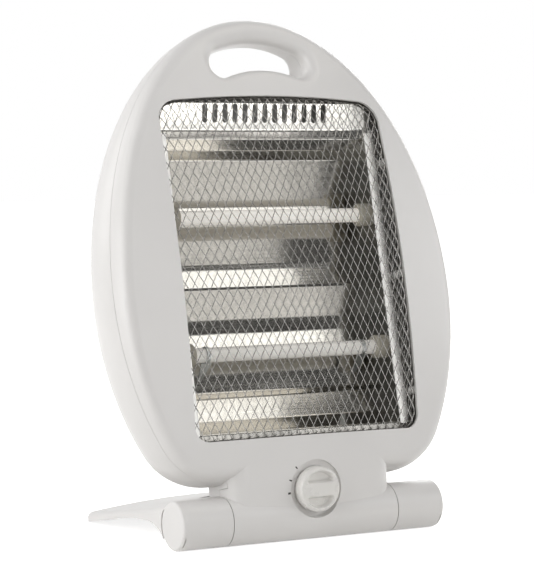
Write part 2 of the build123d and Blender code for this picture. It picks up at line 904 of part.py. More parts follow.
with BuildPart() as tip_weight:
    with Locations(tip_pivot):
        Cylinder(tip_eye_radius, 2 * tip_eye_half, rotation=(0, 90, 0))
        with Locations((0, 0, -tip_drop)):
            Cylinder(tip_weight_radius, tip_weight_length)
        Cylinder(tip_rod_radius, tip_drop, align=(Align.CENTER, Align.CENTER, Align.MAX))
        Cylinder(
            tip_pin_radius + running_clearance, 4 * tip_eye_half, rotation=(0, 90, 0), mode=Mode.SUBTRACT
        )
finish(tip_weight.part, "tip_weight")

with BuildPart() as terminal_block:
    with BuildSketch(at_depth(seat_front)):
        with Locations((block_across, block_height)):
            Rectangle(block_width, block_tall)
    extrude(amount=block_deep)
finish(terminal_block.part, "terminal_block")

with BuildPart() as thermal_cutout:
    with BuildSketch(at_depth(trough_back - sheet / 2 - cutout_seat)):
        with Locations((cutout_across, tube_heights["upper"])):
            Circle(cutout_radius)
    extrude(amount=-cutout_thickness)
finish(thermal_cutout.part, "thermal_cutout")

with BuildPart() as cord_bush:
    with BuildSketch(bush_plane):
        Circle(bush_flange_radius)
    extrude(amount=bush_flange_thickness)
    with BuildSketch(bush_plane):
        Circle(bush_radius)
    extrude(amount=-bush_length)
    with BuildSketch(bush_plane.offset(bush_flange_thickness)):
        Circle(bush_bore_radius)
    extrude(amount=-bush_flange_thickness - bush_length, mode=Mode.SUBTRACT)
finish(cord_bush.part, "cord_bush")

# Wiring inside the casing


def wire_run(points):
    """Round wire through points of the leaning frame, bent at every inner point."""
    with BuildPart() as wire:
        with BuildLine() as path:
            if len(points) > 2:
                FilletPolyline(*[body_point(*point) for point in points], radius=wire_bend)
            else:
                Line(*[body_point(*point) for point in points])
        with BuildSketch(Plane(origin=path.line @ 0, z_dir=path.line % 0)):
            Circle(wire_radius)
        sweep()
    return wire.part


def side_wiring(side, end_across, end_height):
    """Lead from both tubes of one side down behind the reflector to a block at the neck."""
    with BuildPart() as wiring:
        add(
            wire_run(
                (
                    (side * lead_half_length, tube_heights["upper"], tube_depth),
                    (side * wire_across, tube_heights["upper"], tube_depth),
                    (side * wire_across, wire_turn_height, tube_depth),
                    (side * wire_low_across, wire_low_height, wire_depth),
                    (side * wire_neck_across, wire_neck_height, wire_depth),
                    (end_across, wire_neck_height, block_depth),
                    (end_across, end_height, block_depth),
                )
            )
        )
        add(
            wire_run(
                (
                    (side * lead_half_length, tube_heights["lower"], tube_depth),
                    (side * wire_across, tube_heights["lower"], tube_depth),
                )
            )
        )
    return wiring.part


finish(side_wiring(1, block_across, block_height + block_tall / 2), "wiring_right")
finish(side_wiring(-1, tip_across, tip_height + tip_body_tall / 2), "wiring_left")

# Folding foot

side_plane = Plane(origin=(0, axis_y, 0), x_dir=(0, 1, 0), z_dir=(1, 0, 0))
crown_line = Vector(0, foot_reach - foot_shoulder_reach, foot_tip_height - foot_shoulder_height)
crown_plane = Plane(
    origin=(0, axis_y + foot_shoulder_reach, foot_shoulder_height),
    x_dir=(1, 0, 0),
    z_dir=-crown_line.normalized(),
)
crown_radius = (foot_half_width**2 + foot_crown**2) / (2 * foot_crown)
knuckle_start = neck_half_width + hinge_gap
knuckle_end = foot_half_width - knuckle_cap_thickness


def foot_form(inset):
    """Block under the foot's crowned top, with rounded rear corners, pulled in by inset."""
    half_width = foot_half_width - inset
    with BuildPart() as form:
        with BuildSketch(Plane.XY.offset(-barrel_radius)):
            with Locations((0, axis_y + foot_start_reach)):
                Rectangle(
                    2 * half_width, foot_reach - inset - foot_start_reach, align=(Align.CENTER, Align.MIN)
                )
        extrude(amount=4 * barrel_radius)
        fillet(form.edges().filter_by(Axis.Z).group_by(Axis.Y)[-1], foot_corner_radius - inset)
        with BuildSketch(crown_plane):
            with Locations((0, foot_crown - crown_radius)):
                Circle(crown_radius - inset)
        extrude(amount=2 * foot_reach, both=True, mode=Mode.INTERSECT)
        top = form.faces().filter_by(GeomType.CYLINDER).sort_by(SortBy.AREA)[-1]
        fillet(top.edges().sort_by(Axis.Y)[1:], foot_side_radius - inset)
    return form.part


def barrel_run(radius, start, end):
    """Round bars on the hinge axis at both sides, from one distance across to another."""
    with BuildPart() as run:
        for side in (-1, 1):
            with Locations((side * (start + end) / 2, hinge_centre.Y, hinge_centre.Z)):
                Cylinder(radius, end - start, rotation=(0, 90, 0))
    return run.part


def neck_notch(grow):
    """Room behind the casing's neck, let out by grow."""
    with BuildPart() as notch:
        with Locations((0, axis_y, barrel_radius)):
            Box(
                2 * (knuckle_start + grow),
                foot_front_reach + grow,
                6 * barrel_radius,
                align=(Align.CENTER, Align.MIN, Align.CENTER),
            )
    return notch.part


with BuildPart() as foot_hollow:
    add(foot_form(foot_wall))
    add(barrel_run(barrel_radius, knuckle_start, foot_half_width), mode=Mode.SUBTRACT)
    add(neck_notch(foot_wall), mode=Mode.SUBTRACT)

with BuildPart() as foot:
    add(foot_form(0))
    with BuildSketch(side_plane):
        root_point = (
            barrel_radius * cos(radians(skirt_root_angle)),
            barrel_radius * (1 + sin(radians(skirt_root_angle))),
        )
        with BuildLine():
            Polyline(
                root_point,
                (0, barrel_radius),
                (0, 4 * barrel_radius),
                (foot_reach, 4 * barrel_radius),
                (foot_reach, 0),
                (foot_reach - rest_strip, 0),
                *skirt_points,
            )
            ThreePointArc(skirt_points[-1], skirt_curve_point, root_point)
        make_face()
    extrude(amount=foot_half_width, both=True, mode=Mode.INTERSECT)
    add(foot_hollow.part, mode=Mode.SUBTRACT)
    add(neck_notch(0), mode=Mode.SUBTRACT)
    add(barrel_run(barrel_radius, knuckle_start, knuckle_end))
    add(barrel_run(barrel_radius + cap_gap, knuckle_end, foot_half_width + wall), mode=Mode.SUBTRACT)
    for start, end in (
        (knuckle_start + web_thickness, outer_web_place),
        (outer_web_place + web_thickness, foot_half_width),
    ):
        add(barrel_run(barrel_radius - foot_wall, start, end), mode=Mode.SUBTRACT)
    add(
        barrel_run(axle_radius + running_clearance, knuckle_start - wall, foot_half_width),
        mode=Mode.SUBTRACT,
    )
finish(foot.part, "foot")


def knuckle_cap(side):
    """Press-in end cap of the barrel with a slot at its rim to prise it out."""
    with BuildPart() as cap:
        with BuildSketch(Plane.YZ.offset(side * knuckle_end)):
            with Locations((hinge_centre.Y, hinge_centre.Z)):
                Circle(barrel_radius)
        extrude(amount=side * knuckle_cap_thickness)
        fillet(cap.faces().sort_by(Axis.X)[-1 if side > 0 else 0].edges(), knuckle_cap_edge)
        with BuildSketch(Plane.YZ.offset(side * knuckle_end)):
            with Locations((hinge_centre.Y, hinge_centre.Z)):
                Circle(barrel_radius - foot_wall - running_clearance)
                Circle(barrel_radius - 2 * foot_wall, mode=Mode.SUBTRACT)
        extrude(amount=-side * cap_spigot_length)
        with BuildSketch(Plane.YZ.offset(side * knuckle_end)):
            with Locations((hinge_centre.Y, hinge_centre.Z)):
                with PolarLocations(barrel_radius, 1, start_angle=180 - pry_slot_angle):
                    Rectangle(wall, barrel_radius / 2)
        extrude(amount=side * knuckle_cap_thickness / 3, mode=Mode.SUBTRACT)
    return cap.part


for side, word in ((-1, "left"), (1, "right")):
    finish(knuckle_cap(side), f"knuckle_cap_{word}")

# Hinge axle, its washers and clips

clip_start = outer_web_place + web_thickness + axle_clip_gap
axle_half_length = clip_start + axle_clip_thickness + axle_spare

with BuildPart() as hinge_axle:
    with Locations(hinge_centre):
        Cylinder(axle_radius, 2 * axle_half_length, rotation=(0, 90, 0))
finish(hinge_axle.part, "hinge_axle")

with BuildPart() as friction_washers:
    add(barrel_run(washer_radius, neck_half_width, neck_half_width + washer_thickness))
    add(
        barrel_run(axle_radius + running_clearance, neck_half_width - wall, knuckle_start),
        mode=Mode.SUBTRACT,
    )
finish(friction_washers.part, "friction_washers")

with BuildPart() as axle_clips:
    add(barrel_run(axle_clip_radius, clip_start, clip_start + axle_clip_thickness))
    add(barrel_run(axle_radius, clip_start - wall, clip_start + wall), mode=Mode.SUBTRACT)
finish(axle_clips.part, "axle_clips")
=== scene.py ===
# %% [markdown]
# # A small quartz heater
# The heater has an egg-shaped plastic casing that leans back on a folding foot, a domed wire grille, a folded
# metal reflector and two quartz tubes. It was drawn as solids first. Loading those solids gives each piece its
# true place, so nothing here is fitted by eye: a finish goes on a solid, or a finer piece takes the place of one.

# %% Load the solids
import json
import math
from functools import partial

import bpy
import numpy as np
from mathutils import Matrix, Vector
from mathutils.bvhtree import BVHTree


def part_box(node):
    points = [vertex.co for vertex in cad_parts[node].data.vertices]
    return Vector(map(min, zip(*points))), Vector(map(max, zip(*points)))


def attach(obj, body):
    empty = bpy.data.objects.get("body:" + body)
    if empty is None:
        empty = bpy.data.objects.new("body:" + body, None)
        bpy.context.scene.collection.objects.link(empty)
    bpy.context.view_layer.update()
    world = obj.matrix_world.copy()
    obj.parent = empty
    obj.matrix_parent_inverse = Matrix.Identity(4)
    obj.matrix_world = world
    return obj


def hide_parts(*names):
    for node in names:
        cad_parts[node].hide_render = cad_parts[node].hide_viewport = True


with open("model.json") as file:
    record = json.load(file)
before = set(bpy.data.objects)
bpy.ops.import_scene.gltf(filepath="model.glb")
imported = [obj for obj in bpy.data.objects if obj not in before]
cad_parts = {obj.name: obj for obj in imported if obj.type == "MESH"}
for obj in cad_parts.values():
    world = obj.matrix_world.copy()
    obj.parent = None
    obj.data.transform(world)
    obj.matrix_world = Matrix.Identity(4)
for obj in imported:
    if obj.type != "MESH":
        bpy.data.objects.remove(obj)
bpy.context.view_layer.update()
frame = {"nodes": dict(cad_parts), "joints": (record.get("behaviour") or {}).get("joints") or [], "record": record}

nodes = frame["nodes"]

# %% [markdown]
# ## The leaning frame
# Everything in the casing leans back by 14 degrees about the hinge axis of the foot. A piece is
# easier to think about upright, so it is made in a leaning frame: across to the right, height up
# the lean, and depth towards the front. One matrix then lays it in its place. Rays cast from the
# front find where a piece that lies on a solid has to be.

# %% Leaning frame and the solids in it
MM = 0.001
LEAN = math.radians(14.0)
IN_FRONT = 1.0

hinge = Vector(next(joint["pos_m"] for joint in frame["joints"] if joint["name"] == "foot_hinge"))
leaning = Matrix(
    ((1, 0, 0), (0, math.sin(LEAN), math.cos(LEAN)), (0, -math.cos(LEAN), math.sin(LEAN)))
).transposed().to_4x4()
leaning.translation = hinge


def leaning_points(node):
    """Corners of a solid as rows of across, height and depth."""
    mesh = nodes[node].data
    places = np.empty(3 * len(mesh.vertices), np.float32)
    mesh.vertices.foreach_get("co", places)
    back = np.array(leaning.inverted())
    return places.reshape(-1, 3) @ back[:3, :3].T + back[:3, 3]


def leaning_box(node):
    """Lowest and highest across, height and depth of a solid."""
    points = leaning_points(node)
    return points.min(0), points.max(0)


def leaning_surface(node):
    """Surface of a solid, to cast rays at."""
    faces = [tuple(face.vertices) for face in nodes[node].data.polygons]
    return BVHTree.FromPolygons([Vector(point) for point in leaning_points(node)], faces)


def front_of(surface, across, height):
    """Where a ray from the front meets a surface."""
    return surface.ray_cast(Vector((across, height, IN_FRONT)), Vector((0, 0, -1)))[0]


tube_low, tube_high = leaning_box("quartz_tube_upper")
print("upper tube runs from", tube_low.round(4), "to", tube_high.round(4))

# %% [markdown]
# ## Small tools
# Colours are picked as they look on a screen, as hex codes, and Blender mixes light in linear
# numbers, so one function turns the first into the second. The next two fill trees: `feed` sets an
# input, or links it where it is given a socket or a node, which stands for its first output in
# use, and `add_node` adds a node with its settings and inputs. Further down, `add` is `add_node`
# tied to the tree at hand. Sockets go by name, or by number where a node has several of the same
# name: 6 and 7 are the two colours of a mix node. Most finishes vary with a pattern, so `coat` lets
# one pattern drive colour, roughness and relief.

# %% Colour, node and finish helpers
NOISE_SPAN = (0.3, 0.7)  # nearly all values of a noise lie between these


def colour(code):
    """Linear colour of an sRGB hex code."""
    shares = [int(code[place : place + 2], 16) / 255 for place in (0, 2, 4)]
    return [s / 12.92 if s <= 0.04045 else ((s + 0.055) / 1.055) ** 2.4 for s in shares] + [1.0]


def feed(target, inputs):
    """Set or link inputs of a node."""
    for key, value in inputs.items():
        if isinstance(value, bpy.types.Node):
            value = next(socket for socket in value.outputs if socket.enabled)
        if isinstance(value, bpy.types.NodeSocket):
            target.id_data.links.new(value, target.inputs[key])
        else:
            target.inputs[key].default_value = value


def add_node(tree, kind, inputs=None, **settings):
    """A new node with its settings and its inputs."""
    made = tree.nodes.new(kind)
    for name, value in settings.items():
        setattr(made, name, value)
    feed(made, inputs or {})
    return made


def start_material(name, values):
    """A material with its shader's own values, a way to add nodes, its shader and its place."""
    material = bpy.data.materials.new(name)
    material.use_nodes = True
    add = partial(add_node, material.node_tree)
    shader = material.node_tree.nodes["Principled BSDF"]
    feed(shader, values)
    print("finish", name)
    return material, add, shader, add("ShaderNodeTexCoord").outputs["Object"]


def coat(shader, pattern, tones=None, haze=None, relief=None, span=NOISE_SPAN):
    """Vary a finish with a pattern: two tones, two roughnesses, a relief's strength and size."""
    add = partial(add_node, shader.id_data)
    if tones:
        inputs = {"Factor": pattern, 6: colour(tones[0]), 7: colour(tones[1])}
        feed(shader, {"Base Color": add("ShaderNodeMix", inputs, data_type="RGBA")})
    if haze:
        inputs = {"From Min": span[0], "From Max": span[1], "To Min": haze[0], "To Max": haze[1]}
        feed(shader, {"Roughness": add("ShaderNodeMapRange", {"Value": pattern, **inputs})})
    if relief:
        inputs = {"Height": pattern, "Strength": relief[0], "Distance": relief[1]}
        feed(shader, {"Normal": add("ShaderNodeBump", inputs)})


def noise_finish(name, values, size, detail, **effects):
    """A material whose finish varies with one noise of a real size."""
    material, add, shader, place = start_material(name, values)
    noise = add("ShaderNodeTexNoise", {"Vector": place, "Scale": 1 / size, "Detail": detail})
    coat(shader, noise, **effects)
    return material


print("a grey of 808080 on a screen is", round(colour("808080")[0], 3), "in linear light")

# %% [markdown]
# ## Moulded casing plastic
# The shells, the foot and the knob are injection-moulded ABS in a warm off-white. The eye sees a
# satin skin: soft highlights, a grain much finer than a pixel here, a very slight cloudiness, and
# a few rubbed places where the gloss changes. The grain is drawn at 1.2 mm, several times coarser
# than the mould's spark texture, so that it shows at all.

# %% Satin moulded ABS
GRAIN_SIZE = 1.2 * MM
GRAIN_HEIGHT = 0.03 * MM
CLOUD_SIZE = 60 * MM
RUB_SIZE = 14 * MM


def moulded_abs(name, tones, haze):
    """Warm white moulded ABS between two tones and two roughnesses."""
    material, add, shader, place = start_material(name, {"IOR": 1.53})
    clouds, rubs, grain = (
        add("ShaderNodeTexNoise", {"Vector": place, "Scale": 1 / size, **more})
        for size, more in (
            (CLOUD_SIZE, {"Detail": 3.0}),
            (RUB_SIZE, {"Detail": 5.0, "Roughness": 0.65}),
            (GRAIN_SIZE, {"Detail": 2.0}),
        )
    )
    coat(shader, clouds, tones=tones)
    coat(shader, rubs, haze=haze)
    coat(shader, grain, relief=(0.25, GRAIN_HEIGHT))
    return material


casing_abs = moulded_abs("moulded_abs_satin", ("E3E1DF", "DCDAD8"), (0.30, 0.40))
knob_abs = moulded_abs("moulded_abs_knob", ("E5E3DF", "DFDDD9"), (0.24, 0.34))

# %% [markdown]
# ## Polished reflector sheet
# The reflector is polished aluminium sheet. It mirrors the room in soft, uneven patches, because thin sheet is
# never quite flat, and fine lines from rolling run along its length. Two bumps make that: a shallow waviness some
# 60 mm long, and lines stretched along the heater's width. The sheet near the tubes is given a darker metal colour
# and the vent plate above them a paler one, a painted brightening of what the plate mirrors, so the colour goes by
# the height up the lean.

# %% Polished aluminium
WAVE_SIZE = 60 * MM
WAVE_HEIGHT = 0.7 * MM
ROLL_LINE = 0.9 * MM
ROLL_STRETCH = 0.02
ROLL_HEIGHT = 0.01 * MM
PLATE_BRIGHTENED_FROM = 258 * MM
PLATE_BRIGHTENING_FADE = 4 * MM

polished_aluminium_with_painted_brightness, add, shader, place = start_material(
    "aluminium_sheet_polished", {"Metallic": 1.0}
)
# painted reflection: the metal colour is darker below the vent plate and paler on it, by height up the lean
up_the_lean = leaning.col[1].to_3d()
height = add("ShaderNodeVectorMath", {0: place, 1: up_the_lean}, operation="DOT_PRODUCT")
plate_brightened_level = PLATE_BRIGHTENED_FROM + hinge.dot(up_the_lean)
painted_plate_brightening = add(
    "ShaderNodeMapRange",
    {"Value": height, "From Min": plate_brightened_level, "From Max": plate_brightened_level + PLATE_BRIGHTENING_FADE},
)
coat(shader, painted_plate_brightening, tones=("BDBBB6", "E9E7E3"))
lengthwise = add("ShaderNodeMapping", {"Vector": place, "Scale": (ROLL_STRETCH, 1.0, 1.0)})
rolling = add("ShaderNodeTexNoise", {"Vector": lengthwise, "Scale": 1 / ROLL_LINE, "Detail": 3.0})
coat(shader, rolling, haze=(0.08, 0.15))
waves = add("ShaderNodeTexNoise", {"Vector": place, "Scale": 1 / WAVE_SIZE, "Detail": 1.0})
wave_bump = add("ShaderNodeBump", {"Height": waves, "Strength": 1.0, "Distance": WAVE_HEIGHT})
line_bump = add(
    "ShaderNodeBump",
    {"Height": rolling, "Strength": 0.2, "Distance": ROLL_HEIGHT, "Normal": wave_bump},
)
feed(shader, {"Normal": line_bump})
# the printed level is where the painted brightening of the vent plate starts
print("dulled up to", round(plate_brightened_level, 4), "m along the lean")

# %% [markdown]
# ## Brushed flange of the reflector's ends
# The two end plates mirror inside the heater, but their front flanges were brushed dull where the grille's rim
# rubs on them, so they catch light from everywhere. The inside is also given a dark metal colour, a painted shade,
# and the flange a near-white one, a painted highlight, so the flange shows as a pale strip beside the dark inside.
# The finish therefore changes at the flange, by how far across a point lies.

# %% End plates with brushed flanges
FLANGE_FROM = 82.3 * MM
INSIDE_HAZE = 0.32
BRUSH_LINE = 1.1 * MM
BRUSH_STRETCH = 0.15
BRUSH_HEIGHT = 0.08 * MM

shade_painted_brushed_ends, add, shader, place = start_material(
    "aluminium_sheet_brushed_flange", {"Metallic": 1.0}
)
across = add("ShaderNodeSeparateXYZ", {0: place}).outputs["X"]
reach = add("ShaderNodeMath", {0: across}, operation="ABSOLUTE")
on_flange = add("ShaderNodeMath", {0: reach, 1: FLANGE_FROM}, operation="GREATER_THAN")
strokes = add("ShaderNodeMapping", {"Vector": place, "Scale": (1.0, BRUSH_STRETCH, BRUSH_STRETCH)})
brushing = add("ShaderNodeTexNoise", {"Vector": strokes, "Scale": 1 / BRUSH_LINE, "Detail": 4.0})
low, high = NOISE_SPAN
dull = add(
    "ShaderNodeMapRange",
    {"Value": brushing, "From Min": low, "From Max": high, "To Min": 0.45, "To Max": 0.65},
)
haze = add("ShaderNodeMix", {"Factor": on_flange, "A": INSIDE_HAZE, "B": dull})
# painted shade and highlight: dark metal colour inside the end plate, near-white colour on the flange
coat(shader, on_flange, tones=("94938F", "F4F3F0"))
coat(shader, brushing, relief=(0.4, BRUSH_HEIGHT))
feed(shader, {"Roughness": haze})

# %% [markdown]
# ## Burnished hem
# The front edge of each end plate is folded over into a hem, burnished by the tool that closed it.
# It is the palest metal of the heater, and it sparkles in small spots. A grit of 1.6 mm, coarser
# than the real one so that it shows, changes its haze and dents it.

# %% Burnished hem
HEM_GRIT = 1.6 * MM
HEM_DENTS = 0.25 * MM

burnished_hem = noise_finish(
    "aluminium_hem_burnished",
    {"Metallic": 1.0, "Base Color": colour("FAF9F7")},
    HEM_GRIT,
    5.0,
    haze=(0.4, 0.65),
    relief=(0.7, HEM_DENTS),
    span=(0.35, 0.65),
)

# %% [markdown]
# ## Metals of the small parts
# The grille is plated steel, bright and a little uneven. Screws, clips, lugs and the axle are zinc
# plated, which is duller and slightly mottled. The heating wire is nickel chrome with a dark oxide
# skin from earlier use. One function makes the three, because only their tone, their haze and the
# size of the mottle differ.

# %% Plated steel, zinc and resistance wire
MOTTLE_HEIGHT = 0.05 * MM


def mottled_metal(name, tones, mottle, haze):
    """Metal between two tones and two roughnesses, mottled at a real size."""
    relief = (0.2, MOTTLE_HEIGHT)
    metal = {"Metallic": 1.0}
    return noise_finish(name, metal, mottle, 4.0, tones=tones, haze=haze, relief=relief)


plated_wire = mottled_metal("steel_wire_nickel_plated", ("AFAEAB", "9B9996"), 5 * MM, (0.18, 0.30))
zinc_steel = mottled_metal("steel_zinc_plated", ("C6C8C8", "A9ABAA"), 2 * MM, (0.28, 0.42))
resistance_wire = mottled_metal(
    "nickel_chrome_wire_oxidised", ("8F8A84", "6B665F"), 3 * MM, (0.35, 0.55)
)

# %% [markdown]
# ## Quartz and ceramic
# The tubes are drawn from fused quartz with a milky, frosted wall, which scatters nearly all light and hides the
# coil in it. The mirror behind a tube throws light on it from all round, which the renderer does not trace, so the
# wall is given a faint painted glow in its place, stronger in the upper tube, which looks the brighter one. The
# round ends that hold the tubes are fired steatite, chalky and without gloss, and a fine Voronoi bump gives their
# tiny pits.

# %% Frosted quartz and steatite
STREAK_SIZE = 1.5 * MM
STREAK_STRETCH = 0.05
LOWER_TUBE_LEVEL = 130 * MM
UPPER_TUBE_LEVEL = 210 * MM
TUBE_PAINTED_GLOW = (0.05, 0.18)
WARMTH_SIZE = 6 * MM
PIT_SIZE = 0.8 * MM
PIT_DEPTH = 0.08 * MM

frosted_quartz_with_painted_glow, add, shader, place = start_material(
    "fused_quartz_frosted",
    {
        "Base Color": colour("FDFAF5"),
        "IOR": 1.458,
        "Transmission Weight": 0.04,
        "Emission Color": colour("FFF9F0"),
    },
)
# painted glow: the tube wall emits a faint light in place of light from the mirror, rising from the lower tube to
# the upper one
up = add("ShaderNodeSeparateXYZ", {0: place}).outputs["Z"]
tube_painted_glow = add(
    "ShaderNodeMapRange",
    {
        "Value": up,
        "From Min": LOWER_TUBE_LEVEL,
        "From Max": UPPER_TUBE_LEVEL,
        "To Min": TUBE_PAINTED_GLOW[0],
        "To Max": TUBE_PAINTED_GLOW[1],
    },
)
feed(shader, {"Emission Strength": tube_painted_glow})
drawn = add("ShaderNodeMapping", {"Vector": place, "Scale": (STREAK_STRETCH, 1.0, 1.0)})
streaks = add("ShaderNodeTexNoise", {"Vector": drawn, "Scale": 1 / STREAK_SIZE, "Detail": 2.0})
coat(shader, streaks, haze=(0.16, 0.26))

steatite, add, shader, place = start_material(
    "steatite_fired", {"IOR": 1.6, "Specular IOR Level": 0.25}
)
warmth = add("ShaderNodeTexNoise", {"Vector": place, "Scale": 1 / WARMTH_SIZE, "Detail": 3.0})
coat(shader, warmth, tones=("BFBAAE", "ABA597"))
pits = add("ShaderNodeTexVoronoi", {"Vector": place, "Scale": 1 / PIT_SIZE})
coat(shader, pits, haze=(0.85, 0.65), relief=(0.4, PIT_DEPTH), span=(0.0, 1.0))

# %% [markdown]
# ## Dark plastics, rubber and fibre
# The switches are black phenolic, the terminal block is cream urea, the cord bush is soft rubber,
# the washers are red-brown fibre, and the wires wear a woven glass sleeve. All are matt. A plain
# grain is enough for the moulded ones, and two crossed waves give the sleeve its weave. The ink of
# the marks beside the knob is matt too, and it is made with them.

# %% Matt finishes
def matt_moulding(name, light, dark, grain_mm, roughness, height_mm):
    """Matt material between two tones, with a grain of a real size and height."""
    effects = {"tones": (light, dark), "relief": (0.5, height_mm * MM)}
    return noise_finish(name, {"Roughness": roughness}, grain_mm * MM, 4.0, **effects)


black_phenolic = matt_moulding("phenolic_moulded_black", "2B2B2C", "1F1F20", 1.0, 0.5, 0.05)
cream_urea = matt_moulding("urea_moulded_cream", "E2DDD0", "D6D0C1", 1.0, 0.4, 0.04)
bush_rubber = matt_moulding("rubber_moulded_grey", "CBC8C3", "BFBBB5", 0.8, 0.65, 0.06)
washer_fibre = matt_moulding("fibre_pressed_brown", "6A4634", "54372A", 0.6, 0.8, 0.08)
tick_ink = matt_moulding("ink_pad_printed_grey", "42403D", "383633", 0.5, 0.55, 0.01)

# %% Woven sleeve
WEAVE_SIZE = 0.9 * MM
WEAVE_HEIGHT = 0.15 * MM

woven_sleeve, add, shader, place = start_material("glass_fibre_sleeve_woven", {"Roughness": 0.7})
strands = [
    add(
        "ShaderNodeTexWave",
        {"Vector": place, "Scale": 0.3 / WEAVE_SIZE, "Distortion": 0.5},
        bands_direction=direction,
    ).outputs["Fac"]
    for direction in ("DIAGONAL", "Z")
]
weave = add("ShaderNodeMath", dict(enumerate(strands)), operation="MULTIPLY")
coat(shader, weave, tones=("CFCBC0", "E6E2D8"), relief=(0.8, WEAVE_HEIGHT))

# %% [markdown]
# ## Finishes on the solids
# Each solid names its finish in the record that came with the frame. A table from those names to
# the materials above dresses all of them in one loop. The knob gets its own, glossier plastic, and
# the reflector's ends their brushed flanges.

# %% Dress the solids
finishes = {
    "casing_plastic": casing_abs,
    "grille_wire": plated_wire,
    "reflector_sheet": polished_aluminium_with_painted_brightness,
    "quartz": frosted_quartz_with_painted_glow,
    "resistance_wire": resistance_wire,
    "ceramic": steatite,
    "steel": zinc_steel,
    "switch_plastic": black_phenolic,
    "block_plastic": cream_urea,
    "bush_rubber": bush_rubber,
    "wire_sleeve": woven_sleeve,
    "washer_fibre": washer_fibre,
}
own_finishes = {
    "control_knob": knob_abs,
    "reflector_end_left": shade_painted_brushed_ends,
    "reflector_end_right": shade_painted_brushed_ends,
}
for subpart in frame["record"]["subparts"]:
    solid = nodes[subpart["node"]]
    finish = own_finishes.get(subpart["node"], finishes[subpart["material_slot"]])
    solid.data.materials.clear()
    solid.data.materials.append(finish)

# %% [markdown]
# ## Tools for pieces and geometry trees
# Things that repeat, such as the strands of the grille, the turns of a coil or the screws, come from Geometry
# Nodes. A tree has named inputs, runs as a modifier on a host mesh, and its result is kept as a plain mesh,
# because a live modifier or an instance would be lost when the heater is exported. A finished mesh becomes a piece
# once it names the body that it rides on.

# %% Make meshes and pieces
def mesh_of(name, points, edges=(), faces=(), material=None):
    """A mesh from points, edges and faces, in a material if it has one."""
    mesh = bpy.data.meshes.new(name)
    mesh.from_pydata(*([tuple(row) for row in rows] for rows in (points, edges, faces)))
    if material:
        mesh.materials.append(material)
    return mesh


def put_in_scene(name, data):
    """A new object for a mesh, a lamp or a camera."""
    thing = bpy.data.objects.new(name, data)
    bpy.context.scene.collection.objects.link(thing)
    return thing


def add_piece(name, mesh, body):
    """A piece for a mesh, riding on a body."""
    piece = put_in_scene(name, mesh)
    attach(piece, body)
    print(name, len(mesh.polygons), "faces")
    return piece


# %% Start, end and run a geometry tree
def start_tree(name, **labels):
    """A geometry tree with inputs of some kinds, a way to add nodes, and its inputs."""
    tree = bpy.data.node_groups.new(name, "GeometryNodeTree")
    tree.interface.new_socket("Geometry", in_out="OUTPUT", socket_type="NodeSocketGeometry")
    for kind, group in {"Geometry": ["Geometry"], **labels}.items():
        for label in group:
            tree.interface.new_socket(label, in_out="INPUT", socket_type=f"NodeSocket{kind}")
    add = partial(add_node, tree)
    return tree, add, add("NodeGroupInput").outputs


def end_tree(add, given, geometry):
    """Make instances real, give them their material and pass them out."""
    real = add("GeometryNodeRealizeInstances", {"Geometry": geometry})
    coated = add("GeometryNodeSetMaterial", {"Geometry": real, "Material": given["Material"]})
    tree = add("NodeGroupOutput", {"Geometry": coated}).id_data
    print(tree.name, "has", len(tree.nodes), "nodes")


def grow(tree, host, values):
    """Run a tree on a host mesh and return the plain mesh that it makes."""
    grower = put_in_scene(tree.name, host)
    modifier = grower.modifiers.new(tree.name, "NODES")
    modifier.node_group = tree
    for socket in tree.interface.items_tree:
        if socket.in_out == "INPUT" and socket.name in values:
            modifier[socket.identifier] = values[socket.name]
    evaluated = grower.evaluated_get(bpy.context.evaluated_depsgraph_get())
    grown = bpy.data.meshes.new_from_object(evaluated)
    grower.modifiers.remove(modifier)
    bpy.data.objects.remove(grower)
    return grown


# %% [markdown]
# ## The grille, first flat
# The grille is one sheet of tall diamonds. It could be two crossing sets of straight wires, but
# real expanded mesh is made of zigzag strands that touch at each bend, and that is also simpler to
# make: copies of one line stand side by side, and a ping-pong wave pushes each point sideways by
# half a diamond. Neighbours start on opposite sides of the wave, so their bends meet. Its wires
# come later, so this tree ends before its material.

# %% Lattice of zigzag strands
DIAMOND_WIDTH = 6.3 * MM
DIAMOND_HEIGHT = 11.6 * MM
STEPS_PER_SIDE = 4

zigzag_tree, add, given = start_tree(
    "zigzag_strands", Int=["Strands", "Points"], Float=["Half Width", "Half Height", "Step"]
)
half_across, half_up = given["Half Width"], given["Half Height"]
side_step = add("ShaderNodeCombineXYZ", {"X": half_across})
row = add("GeometryNodeMeshLine", {"Count": given["Strands"], "Offset": side_step})
up_step = add("ShaderNodeCombineXYZ", {"Y": given["Step"]})
line = add("GeometryNodeMeshLine", {"Count": given["Points"], "Offset": up_step})
copies = add("GeometryNodeInstanceOnPoints", {"Points": row, "Instance": line})
lines = add("GeometryNodeRealizeInstances", {"Geometry": copies})
spot = add("ShaderNodeSeparateXYZ", {0: add("GeometryNodeInputPosition")}).outputs
column = add("ShaderNodeMath", {0: spot["X"], 1: half_across}, operation="DIVIDE")
level = add("ShaderNodeMath", {0: spot["Y"], 1: half_up}, operation="DIVIDE")
phase = add("ShaderNodeMath", {0: column, 1: level}, operation="ADD")
wave = add("ShaderNodeMath", {0: phase, 1: 1.0}, operation="PINGPONG")
push = add("ShaderNodeMath", {0: wave, 1: half_across}, operation="MULTIPLY")
shift = add("ShaderNodeCombineXYZ", {"X": push})
zigzag = add("GeometryNodeSetPosition", {"Geometry": lines, "Offset": shift})
add("NodeGroupOutput", {"Geometry": zigzag})
print(zigzag_tree.name, "has", len(zigzag_tree.nodes), "nodes")

